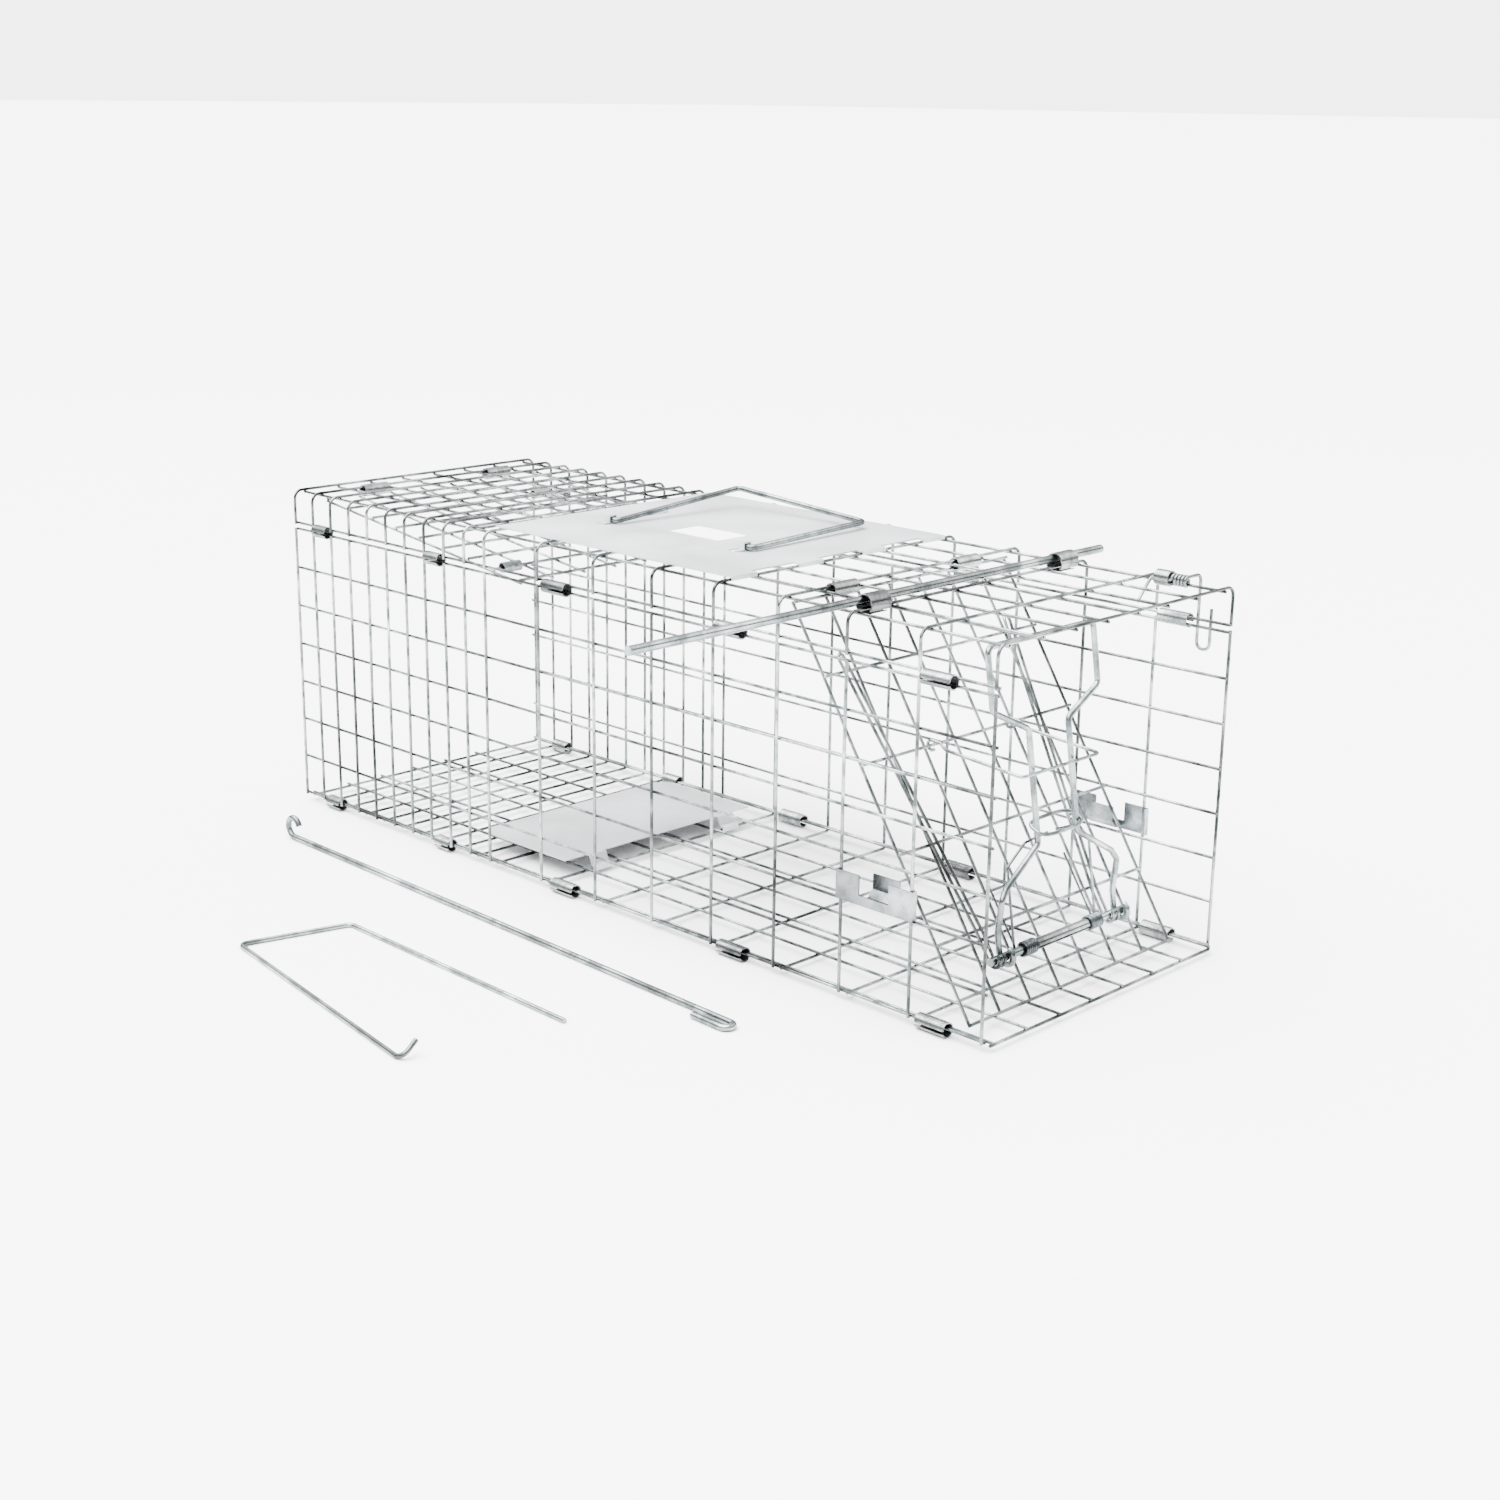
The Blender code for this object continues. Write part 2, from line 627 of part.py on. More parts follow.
def make_latch(pivot):
    """Spring latch round the outer top wire: a hook outside the cage and an arm inside it."""
    radius = thin_half * math.sqrt(2) + 0.0006 + latch_wire / 2
    length = latch_wire * 1.12 * latch_turns
    axis_y, axis_z = top_long_half, top_z
    middle = latch_start_x + length / 2
    turns = coil((middle, axis_y, axis_z), "X", radius, latch_wire, latch_turns, 8, math.pi, -1)
    sleeve_length = 0.0095
    arm_x = latch_start_x - sleeve_length - 0.0040
    inside = [(arm_x, axis_y - radius - 0.0120, axis_z - 0.0130), (arm_x, axis_y - radius, axis_z - 0.0002),
              (latch_start_x - 0.001, axis_y - radius, axis_z)]
    out_x = turns[-1].x
    clear = half_wide + half_bar + latch_wire / 2 + 0.0015
    foot = 0.040
    outside = [turns[-1], (out_x, clear, axis_z + radius), (out_x, clear, axis_z - foot),
               (out_x + 0.0085, clear, axis_z - foot), (out_x + 0.0085, clear, axis_z - foot + 0.024)]
    route = rounded(inside, 0.002, 2) + turns[1:-1] + rounded(outside, 0.0038, 3)
    wire("door_latch", route, latch_wire, "rod", pivot, 6)
    sleeve_x = latch_start_x - 0.0015 - sleeve_length / 2
    inner = radius + latch_wire / 2 + fit_gap
    inner = inner / math.cos(math.radians(18))
    tube("latch_sleeve", (sleeve_x, axis_y, axis_z), "X", sleeve_length, inner, inner + sleeve_wall, "sleeve")


# ---- treadle and side catches -------------------------------------------------------------
def make_treadle(pivot):
    """Raised sheet with cut corners and two front tabs hooked over a crosswise floor wire."""
    over = floor_top + fit_gap + plate_thick / 2
    level = floor_top + treadle_above_floor + plate_thick / 2
    front = treadle_pivot_x - 0.006
    rear = front - treadle_length
    cut = 0.009
    corners = [(rear, -treadle_half_width + cut), (rear + cut, -treadle_half_width),
               (front, -treadle_half_width), (front, treadle_half_width),
               (rear + cut, treadle_half_width), (rear, treadle_half_width - cut)]
    bm = bmesh.new()
    face = bm.faces.new([bm.verts.new((x, y, level - plate_thick / 2)) for x, y in corners])
    lifted = bmesh.ops.extrude_face_region(bm, geom=[face])
    verts = [item for item in lifted["geom"] if isinstance(item, bmesh.types.BMVert)]
    bmesh.ops.translate(bm, verts=verts, vec=(0, 0, plate_thick))
    sheet = add("treadle", mesh_from(bm, "treadle"), "sheet", pivot)
    place = lambda a, b, c: (a, c, b)
    tip = treadle_pivot_x + half_bar + fit_gap + plate_thick / 2
    tab = [(front - 0.003, level), (treadle_pivot_x - 0.0035, level), (treadle_pivot_x - 0.001, over + 0.0004),
           (tip, over), (tip, floor_z - half_bar)]
    for side in (-1, 1):
        low = side * treadle_tab_offset - treadle_tab_width / 2
        combine(sheet, strip(tab, plate_thick, low, low + treadle_tab_width, place), "UNION")


def make_side_catch(name, side):
    """Sheet clip round two uprights, with a window and a tongue bent into the cage."""
    left, right = wire_xs[-3], wire_xs[-2]
    lap = half_bar + fit_gap + plate_thick / 2
    plane = half_wide + lap
    back = half_wide - half_bar - fit_gap
    middle = (left + right) / 2
    outline = [(left - lap, back), (left - lap, plane), (right + lap, plane), (right + lap, back)]
    place = lambda a, b, c: (middle + side * (a - middle), side * b, c)
    high = catch_low + catch_height
    catch = add(name, mesh_from(strip(outline, plate_thick, catch_low, high, place), name), "sheet")
    window = block((middle - 0.0105, side * plane - 0.004, catch_low + 0.005),
                   (middle + 0.0105, side * plane + 0.004, high + 0.004))
    combine(catch, window, "DIFFERENCE")
    base = catch_low + 0.0025
    tongue = [(plane, base), (half_wide - 0.0045, base - 0.0002), (half_wide - 0.0085, base + 0.004),
              (half_wide - 0.0085, high - 0.001)]
    lay = lambda a, b, c: (middle + side * c, side * a, b)
    combine(catch, strip(tongue, plate_thick, -0.0095, 0.0095, lay), "UNION")


# ---- loose rods ---------------------------------------------------------------------------
def turned(base, angle):
    """A placing function for a rod that lies askew on the ground from a base point."""
    ahead = Vector((math.cos(angle), math.sin(angle), 0))
    aside = Vector((-math.sin(angle), math.cos(angle), 0))
    return lambda a, b, c: Vector((*base, 0)) + ahead * a + aside * b + Vector((0, 0, c))


def make_trigger_rod(pivot):
    """Long rod lying beside the cage: a curl at its rear end and a flat return at its front."""
    level = trigger_rod_thick / 2
    curl = 0.0065
    at = turned(trigger_rod_front, math.pi - trigger_rod_turn)
    ring = []
    for i in range(9):
        angle = math.radians(-90 + 250 * i / 8)
        ring.append(at(trigger_rod_length + curl * math.cos(angle), 0, level + curl + curl * math.sin(angle)))
    back = [at(0.004, 0, level), at(0, 0.0035, level), at(0.004, 0.0070, level), at(0.020, 0.0070, level)]
    wire("trigger_rod", ring[::-1] + back, trigger_rod_thick, "rod", pivot, 6)


def make_rear_rod(pivot):
    """U-shaped locking rod for the rear door, lying beside the cage with one end turned up."""
    level = rear_rod_thick / 2
    at = turned(rear_rod_corner, 0)
    back_x = -rear_rod_width * math.sin(math.radians(14.5))
    back_y = -rear_rod_width * math.cos(math.radians(14.5))
    slant = math.radians(-9.1)
    end_x = back_x + rear_rod_leg * math.cos(slant)
    end_y = back_y + rear_rod_leg * math.sin(slant)
    corners = [at(rear_rod_leg, -0.004, level), at(0, 0, level), at(back_x, back_y, level),
               at(end_x, end_y, level), at(end_x - 0.004, end_y + 0.016, level + 0.007)]
    wire("rear_locking_rod", rounded(corners, 0.004, 3), rear_rod_thick, "rod", pivot, 6)


# ---- build --------------------------------------------------------------------------------
for old in list(bpy.data.objects):
    bpy.data.objects.remove(old, do_unlink=True)

frame_empty = bpy.data.objects.new("trap_frame", None)
bpy.context.collection.objects.link(frame_empty)

material("wire", (0.62, 0.64, 0.65), 0.34)
material("rod", (0.58, 0.60, 0.61), 0.30)
material("sleeve", (0.66, 0.68, 0.69), 0.32)
material("sheet", (0.74, 0.76, 0.78), 0.50)
material("spring", (0.55, 0.57, 0.58), 0.30)

make_floor()
make_side("side_panel_near", -1)
make_side("side_panel_far", 1)
make_top()
make_edge_sleeves()

door_pivot = empty("front_door_pivot", (door_hinge_x, 0, door_hinge_z))
bar_pivot = empty("lock_bar_pivot", on_door(rod_down_door, 0, rod_above_door), door_pivot)
guide_pivot = empty("guide_loop_pivot", on_door(door_rows[guide_row], 0, 0), door_pivot)
make_front_door(door_pivot)
make_door_rod(door_pivot)
make_hairpin_arm("hairpin_arm_near", -1, arm_near_foot, arm_near_head, door_pivot)
make_hairpin_arm("hairpin_arm_far", 1, arm_far_foot, arm_far_head, door_pivot)
make_lock_bar(bar_pivot)
make_neck_link(bar_pivot)
make_lock_spring("near", -1, spring_near_start, door_pivot, bar_pivot)
make_lock_spring("far", 1, spring_far_start, door_pivot, bar_pivot)
make_guide_loop(guide_pivot)
make_rear_door(empty("rear_door_pivot", rear_hinge))
make_guard()
make_handle(empty("handle_pivot", (0, handle_pivot_y, handle_level)))
make_handle_lug("handle_lug_rear", handle_rear_x)
make_handle_lug("handle_lug_front", handle_front_x)
make_set_rod(empty("set_rod_slide", (set_rod_x, 0, set_rod_z)))
make_latch(empty("latch_pivot", (latch_start_x, top_long_half, top_z)))
make_treadle(empty("treadle_pivot", (treadle_pivot_x, 0, floor_z)))
make_side_catch("side_catch_near", -1)
make_side_catch("side_catch_far", 1)
make_trigger_rod(empty("trigger_rod_place", (*trigger_rod_front, 0)))
make_rear_rod(empty("rear_rod_place", (*rear_rod_corner, 0)))

# the whole set stands centred over the origin
bpy.context.view_layer.update()
graph = bpy.context.evaluated_depsgraph_get()
reach = []
for thing in bpy.data.objects:
    if thing.type != "EMPTY" and not thing.hide_render:
        shown = thing.evaluated_get(graph)
        reach += [shown.matrix_world @ vert.co for vert in shown.to_mesh().vertices]
centre_x = (min(p.x for p in reach) + max(p.x for p in reach)) / 2
centre_y = (min(p.y for p in reach) + max(p.y for p in reach)) / 2
frame_empty.location = (-centre_x, -centre_y, 0)
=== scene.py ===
import bpy
import bmesh
import json
import math
import random
from mathutils import Matrix, Vector


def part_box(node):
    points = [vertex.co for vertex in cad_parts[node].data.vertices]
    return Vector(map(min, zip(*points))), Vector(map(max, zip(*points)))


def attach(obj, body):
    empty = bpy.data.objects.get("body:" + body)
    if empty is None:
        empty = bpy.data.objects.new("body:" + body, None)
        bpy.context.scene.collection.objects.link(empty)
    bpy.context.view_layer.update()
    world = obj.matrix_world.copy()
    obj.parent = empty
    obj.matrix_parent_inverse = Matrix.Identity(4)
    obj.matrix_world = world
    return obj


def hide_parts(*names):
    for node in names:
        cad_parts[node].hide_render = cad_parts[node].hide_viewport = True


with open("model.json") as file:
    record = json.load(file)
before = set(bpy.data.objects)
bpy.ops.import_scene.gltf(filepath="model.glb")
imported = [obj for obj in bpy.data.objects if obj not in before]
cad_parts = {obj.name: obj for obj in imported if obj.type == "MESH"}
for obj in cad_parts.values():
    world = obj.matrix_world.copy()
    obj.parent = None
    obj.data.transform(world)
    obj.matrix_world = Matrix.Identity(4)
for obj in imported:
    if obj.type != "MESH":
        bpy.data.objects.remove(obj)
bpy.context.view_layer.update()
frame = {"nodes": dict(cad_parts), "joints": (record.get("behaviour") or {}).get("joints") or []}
random.seed(7)
print("frame loaded")

# places of the cage that every piece is set out from
sideLow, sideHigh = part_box("side_panel_near")
farLow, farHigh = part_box("side_panel_far")
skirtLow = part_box("top_skirt_near")[0]
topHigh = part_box("top_panel")[1]
floorLow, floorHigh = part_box("floor_panel")
centre = Vector(((sideLow.x + sideHigh.x) / 2, (sideLow.y + farHigh.y) / 2, 0))
jointAt = {joint["name"]: Vector(joint["pos_m"]) for joint in frame["joints"] if "pos_m" in joint}

cage = {
    "crossWire": 0.0020,      # uprights and crosswise wires
    "longWire": 0.0019,       # lengthways wires
    "finePitch": 0.020, "fineGaps": 10, "coarseGaps": 8,
    "sideRows": 8, "longWires": 8,
    "wander": 0.00025,        # how far a wire strays from straight
    "bend": 0.0080,           # of the top panel's middle planes, as its sleeves and door clips need
    "shownBend": 0.0058,      # of the wires that show
    "strand": 0.0008,         # half the thickness of the frame's own lengthways wires
    "weldSink": 0.0001,       # how far two crossing wires sink into each other
    "floorInset": 0.0042,     # of the floor's outermost lengthways wires
}
strand = cage["strand"]
crossHalf, longHalf = cage["crossWire"] / 2, cage["longWire"] / 2
weldStep = crossHalf + longHalf - cage["weldSink"]
halfWide = (farHigh.y + farLow.y) / 2 - centre.y
halfLong = (sideHigh.x - sideLow.x) / 2 - crossHalf
coarsePitch = (2 * halfLong - cage["fineGaps"] * cage["finePitch"]) / cage["coarseGaps"]
wireXs = [-halfLong + cage["finePitch"] * i for i in range(cage["fineGaps"] + 1)]
wireXs += [wireXs[-1] + coarsePitch * i for i in range(1, cage["coarseGaps"] + 1)]
floorXs = [x + floorHigh.x - sideHigh.x for x in wireXs]
floorZ = floorLow.z + crossHalf
topZ = topHigh.z - crossHalf
skirtZ = skirtLow.z + strand
sideLowZ, sideHighZ = sideLow.z + strand, sideHigh.z - strand
longHalfWide = halfWide - cage["bend"] - strand   # outermost lengthways wire of the top


def spaced(half, count):
    return [-half + 2 * half * i / (count - 1) for i in range(count)]


# finishes: every zinc surface shares one group
def newGroup(name, inputs, outputs):
    group = bpy.data.node_groups.new(name, "ShaderNodeTree")
    for label, kind, value in inputs:
        socket = group.interface.new_socket(label, in_out="INPUT", socket_type=kind)
        socket.default_value = value
    for label, kind in outputs:
        group.interface.new_socket(label, in_out="OUTPUT", socket_type=kind)
    return group, group.nodes.new("NodeGroupInput"), group.nodes.new("NodeGroupOutput")


def addNode(tree, kind, **values):
    node = tree.nodes.new(kind)
    for key, value in values.items():
        if hasattr(node, key):
            setattr(node, key, value)
        else:
            node.inputs[key].default_value = value
    return node


def mixColour(tree, factor, first, second, blend="MIX"):
    node = tree.nodes.new("ShaderNodeMix")
    node.data_type = "RGBA"
    node.blend_type = blend
    for socket, source in ((node.inputs[0], factor), (node.inputs[6], first), (node.inputs[7], second)):
        if hasattr(source, "links"):
            tree.links.new(source, socket)
        else:
            socket.default_value = source
    return node.outputs[2]


zincMarks = {
    "patchEdges": (0.38, 0.62),
    "broadScale": 11.0, "broadEdges": (0.36, 0.62), "brightest": 1.15,
    "speckScale": 900.0, "speckEdges": (0.60, 0.72), "speckColour": (0.16, 0.17, 0.17, 1),
    "roughEdges": (0.35, 0.65),
}


def zincTree():
    # cloudy passivated zinc: pale and dull patches, broad darker stretches and small dark specks
    group, enter, leave = newGroup(
        "zincFinish",
        [("Pale", "NodeSocketColor", (0.8, 0.8, 0.8, 1)), ("Dull", "NodeSocketColor", (0.5, 0.5, 0.5, 1)),
         ("Patch Scale", "NodeSocketFloat", 60.0), ("Smooth", "NodeSocketFloat", 0.22),
         ("Matt", "NodeSocketFloat", 0.45), ("Specks", "NodeSocketFloat", 0.5),
         ("Darkest", "NodeSocketFloat", 0.4)],
        [("Colour", "NodeSocketColor"), ("Roughness", "NodeSocketFloat"), ("Height", "NodeSocketFloat")])
    links = group.links
    place = addNode(group, "ShaderNodeTexCoord")
    patch = addNode(group, "ShaderNodeTexNoise", Detail=4.0, Roughness=0.62)
    links.new(place.outputs["Object"], patch.inputs["Vector"])
    links.new(enter.outputs["Patch Scale"], patch.inputs["Scale"])
    ramp = addNode(group, "ShaderNodeValToRGB")
    for stop, position in zip(ramp.color_ramp.elements, zincMarks["patchEdges"]):
        stop.position = position
    links.new(patch.outputs["Fac"], ramp.inputs["Fac"])
    base = mixColour(group, ramp.outputs["Color"], enter.outputs["Dull"], enter.outputs["Pale"])
    broad = addNode(group, "ShaderNodeTexNoise", Scale=zincMarks["broadScale"], Detail=1.0)
    links.new(place.outputs["Object"], broad.inputs["Vector"])
    tone = addNode(group, "ShaderNodeMapRange")
    links.new(broad.outputs["Fac"], tone.inputs["Value"])
    tone.inputs["From Min"].default_value, tone.inputs["From Max"].default_value = zincMarks["broadEdges"]
    tone.inputs["To Min"].default_value = zincMarks["brightest"]
    links.new(enter.outputs["Darkest"], tone.inputs["To Max"])
    base = mixColour(group, 1.0, base, tone.outputs["Result"], "MULTIPLY")
    speck = addNode(group, "ShaderNodeTexNoise", Scale=zincMarks["speckScale"], Detail=2.0)
    links.new(place.outputs["Object"], speck.inputs["Vector"])
    speckRamp = addNode(group, "ShaderNodeValToRGB")
    for stop, position in zip(speckRamp.color_ramp.elements, zincMarks["speckEdges"]):
        stop.position = position
    links.new(speck.outputs["Fac"], speckRamp.inputs["Fac"])
    share = addNode(group, "ShaderNodeMath", operation="MULTIPLY")
    links.new(speckRamp.outputs["Color"], share.inputs[0])
    links.new(enter.outputs["Specks"], share.inputs[1])
    colour = mixColour(group, share.outputs[0], base, zincMarks["speckColour"])
    rough = addNode(group, "ShaderNodeMapRange")
    links.new(patch.outputs["Fac"], rough.inputs["Value"])
    rough.inputs["From Min"].default_value, rough.inputs["From Max"].default_value = zincMarks["roughEdges"]
    links.new(enter.outputs["Matt"], rough.inputs["To Min"])
    links.new(enter.outputs["Smooth"], rough.inputs["To Max"])
    links.new(colour, leave.inputs["Colour"])
    links.new(rough.outputs["Result"], leave.inputs["Roughness"])
    links.new(speck.outputs["Fac"], leave.inputs["Height"])
    return group


zincGroup = zincTree()


def zinc(name, look):
    made = bpy.data.materials.new(name)
    made.use_nodes = True
    tree = made.node_tree
    shader = tree.nodes["Principled BSDF"]
    shader.inputs["Metallic"].default_value = look.get("metallic", 1.0)
    finish = tree.nodes.new("ShaderNodeGroup")
    finish.node_tree = zincGroup
    values = {"Pale": (*look["pale"], 1), "Dull": (*look["dull"], 1), "Patch Scale": look["patch"],
              "Smooth": look["smooth"], "Matt": look["matt"], "Specks": look["specks"],
              "Darkest": look.get("darkest", 0.35)}
    for label, value in values.items():
        finish.inputs[label].default_value = value
    tree.links.new(finish.outputs["Colour"], shader.inputs["Base Color"])
    tree.links.new(finish.outputs["Roughness"], shader.inputs["Roughness"])
    lift = addNode(tree, "ShaderNodeBump", Strength=look.get("bump", 0.05), Distance=0.0002)
    tree.links.new(finish.outputs["Height"], lift.inputs["Height"])
    tree.links.new(lift.outputs["Normal"], shader.inputs["Normal"])
    return made


finishes = {
    "wire": zinc("zincWire", {
        "pale": (0.36, 0.39, 0.39), "dull": (0.060, 0.072, 0.072), "patch": 70,
        "smooth": 0.17, "matt": 0.36, "specks": 0.45, "darkest": 0.22}),
    "rod": zinc("zincRod", {
        "pale": (0.38, 0.42, 0.42), "dull": (0.10, 0.12, 0.12), "patch": 60,
        "smooth": 0.17, "matt": 0.34, "specks": 0.40}),
    "sleeve": zinc("zincSleeve", {
        "pale": (0.36, 0.38, 0.38), "dull": (0.13, 0.145, 0.145), "patch": 120,
        "smooth": 0.20, "matt": 0.36, "specks": 0.35}),
    "spring": zinc("zincSpring", {
        "pale": (0.20, 0.23, 0.24), "dull": (0.06, 0.07, 0.075), "patch": 110,
        "smooth": 0.18, "matt": 0.32, "specks": 0.40}),
    "catch": zinc("zincCatch", {
        "pale": (0.38, 0.41, 0.42), "dull": (0.12, 0.14, 0.15), "patch": 55,
        "smooth": 0.22, "matt": 0.40, "specks": 0.30}),
    "sheet": zinc("galvanisedSheet", {
        "pale": (0.58, 0.595, 0.61), "dull": (0.48, 0.495, 0.51), "patch": 22,
        "smooth": 0.40, "matt": 0.55, "specks": 0.06, "darkest": 0.90, "bump": 0.03, "metallic": 0.75}),
}


def plain(name, colour, roughness):
    made = bpy.data.materials.new(name)
    made.use_nodes = True
    tree = made.node_tree
    shader = tree.nodes["Principled BSDF"]
    place = addNode(tree, "ShaderNodeTexCoord")
    grain = addNode(tree, "ShaderNodeTexNoise", Scale=400.0, Detail=3.0)
    tree.links.new(place.outputs["Object"], grain.inputs["Vector"])
    shade = [value * 0.93 for value in colour]
    tone = mixColour(tree, grain.outputs["Fac"], (*shade, 1), (*colour, 1))
    tree.links.new(tone, shader.inputs["Base Color"])
    shader.inputs["Roughness"].default_value = roughness
    return made


# near-black painted shade for the sleeves' inner faces, standing in for the shadow inside each rolled strip
paintedHollowShade = plain("sleeveHollowPaintedShade", (0.012, 0.012, 0.013), 0.7)
labelPaper = plain("labelPaper", (0.93, 0.93, 0.92), 0.6)
floorPaper = plain("studioFloor", (0.93, 0.93, 0.93), 0.9)
print("finishes made")


# every piece is hung on its body and the frame parts it stands in for are hidden
def settle(piece, body, slot, *nodes):
    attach(piece, body)
    if nodes:
        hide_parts(*nodes)
    return piece


mergeWithin = 0.000005    # points of a wire's caps and sides that become one
coilPitch = 1.12          # distance between a coil's turns, in wire thicknesses


def wires(name, routes, thick, body, slot, nodes=(), roundness=2):
    # every route is one round wire; all of them become one mesh
    curve = bpy.data.curves.new(name, "CURVE")
    curve.dimensions = "3D"
    curve.bevel_depth = thick / 2
    curve.bevel_resolution = roundness
    curve.use_fill_caps = True
    for route in routes:
        line = curve.splines.new("POLY")
        line.points.add(len(route) - 1)
        for spot, point in zip(line.points, route):
            spot.co = (*point, 1)
        line.use_smooth = True
    holder = bpy.data.objects.new(name + "Curve", curve)
    bpy.context.scene.collection.objects.link(holder)
    bpy.context.view_layer.update()
    mesh = bpy.data.meshes.new_from_object(holder.evaluated_get(bpy.context.evaluated_depsgraph_get()))
    bpy.data.objects.remove(holder)
    bm = bmesh.new()
    bm.from_mesh(mesh)
    bmesh.ops.remove_doubles(bm, verts=bm.verts, dist=mergeWithin)
    bmesh.ops.recalc_face_normals(bm, faces=bm.faces)
    bm.to_mesh(mesh)
    bm.free()
    mesh.name = name
    mesh.shade_smooth()
    mesh.set_sharp_from_angle(angle=math.radians(50))
    mesh.materials.clear()
    mesh.materials.append(finishes[slot])
    piece = bpy.data.objects.new(name, mesh)
    bpy.context.scene.collection.objects.link(piece)
    return settle(piece, body, slot, *nodes)


def strayed(start, end, steps=5, amount=None):
    # a straight wire that wanders a little, as drawn wire does
    amount = cage["wander"] if amount is None else amount
    start, end = Vector(start), Vector(end)
    lean = Vector((random.uniform(-1, 1), random.uniform(-1, 1), random.uniform(-1, 1))) * amount
    phase = random.uniform(0, math.pi)
    points = []
    for i in range(steps + 1):
        share = i / steps
        points.append(start.lerp(end, share) + lean * math.sin(phase + share * 4) * math.sin(share * math.pi))
    return points


def rounded(points, radius, steps=6):
    route = [Vector(points[0])]
    for before, corner, after in zip(points, points[1:], points[2:]):
        before, corner, after = Vector(before), Vector(corner), Vector(after)
        toBefore, toAfter = (before - corner).normalized(), (after - corner).normalized()
        turn = toBefore.angle(toAfter)
        middle = corner + (toBefore + toAfter).normalized() * radius / math.sin(turn / 2)
        start = corner + toBefore * radius / math.tan(turn / 2) - middle
        end = corner + toAfter * radius / math.tan(turn / 2) - middle
        sweep = start.angle(end)
        for i in range(steps + 1):
            share = i / steps
            mixed = start * math.sin((1 - share) * sweep) + end * math.sin(share * sweep)
            route.append(middle + mixed / math.sin(sweep))
    route.append(Vector(points[-1]))
    return route


def eye(pin, first, second, radius, turn, steps=16):
    return [pin + (first * math.cos(turn * i / steps) + second * math.sin(turn * i / steps)) * radius
            for i in range(steps + 1)]


def coil(middle, axis, radius, thick, turns, start=0.0, way=1, steps=16):
    points = []
    for i in range(round(turns * steps) + 1):
        angle = start + way * math.tau * i / steps
        along = thick * coilPitch * (i / steps - turns / 2)
        side, up = radius * math.cos(angle), radius * math.sin(angle)
        offset = (side, along, up) if axis == "Y" else (along, side, up)
        points.append(Vector(middle) + Vector(offset))
    return points


# cage panels
def at(x, y, z):
    return Vector((centre.x + x, centre.y + y, z))


def looseness(i):
    # the end wires stay true, the others wander
    return 0.0 if i in (0, len(wireXs) - 1) else cage["wander"]


def makeFloor():
    half = halfWide - cage["floorInset"]
    routes = [strayed(at(x, -half - strand, floorZ), at(x, half + strand, floorZ), amount=looseness(i))
              for i, x in enumerate(floorXs)]
    fine = []
    for y in spaced(half, cage["longWires"]):
        z = floorZ + weldStep - cage["weldSink"]
        fine.append(strayed(at(floorXs[0] - crossHalf, y, z), at(floorXs[-1] + crossHalf, y, z), 12))
    wires("floorCrossWires", routes, cage["crossWire"], "cage", "wire", ["floor_panel"])
    wires("floorLongWires", fine, cage["longWire"], "cage", "wire")


def makeSide(word, side):
    y = side * halfWide
    inner = y - side * weldStep
    routes = [strayed(at(x, y, sideLow.z), at(x, y, sideHigh.z), amount=looseness(i))
              for i, x in enumerate(wireXs)]
    fine = []
    for i in range(cage["sideRows"]):
        z = sideLowZ + (sideHighZ - sideLowZ) * i / (cage["sideRows"] - 1)
        fine.append(strayed(at(-halfLong - crossHalf, inner, z), at(halfLong + crossHalf, inner, z), 12))
    wires(f"sideUprights{word}", routes, cage["crossWire"], "cage", "wire", [f"side_panel_{word.lower()}"])
    wires(f"sideLongWires{word}", fine, cage["longWire"], "cage", "wire")


def makeTop():
    routes = []
    for i, x in enumerate(wireXs):
        lean = random.uniform(-1, 1) * looseness(i)
        corners = [at(x + lean, -halfWide, skirtLow.z), at(x, -halfWide, topZ), at(x, halfWide, topZ),
                   at(x - lean, halfWide, skirtLow.z)]
        routes.append(rounded(corners, cage["shownBend"]))
    fine = []
    for y in spaced(longHalfWide, cage["longWires"]):
        z = topZ - weldStep
        fine.append(strayed(at(-halfLong - crossHalf, y, z), at(halfLong + crossHalf, y, z), 12))
    for side in (-1, 1):
        y = side * (halfWide - weldStep)
        fine.append(strayed(at(-halfLong - crossHalf, y, skirtZ), at(halfLong + crossHalf, y, skirtZ), 12))
    wires("topCrossWires", routes, cage["crossWire"], "cage", "wire",
          ["top_panel", "top_skirt_near", "top_skirt_far"])
    wires("topLongWires", fine, cage["longWire"], "cage", "wire")


makeFloor()
makeSide("Near", -1)
makeSide("Far", 1)
makeTop()
print("cage panels made")


# crimped sleeves
sleeve = {
    "wall": 0.0007, "seam": math.radians(24), "steps": 26,
    "slim": 0.94,             # of the frame's sleeves, apart from the floor's
    "clipShare": 0.72,        # of the frame's length, for the set rod's clips
    "longSeams": {"near": 110, "far": 250}, "hingeSeam": 200, "clipSeam": 150, "spacerSeam": 120,
}


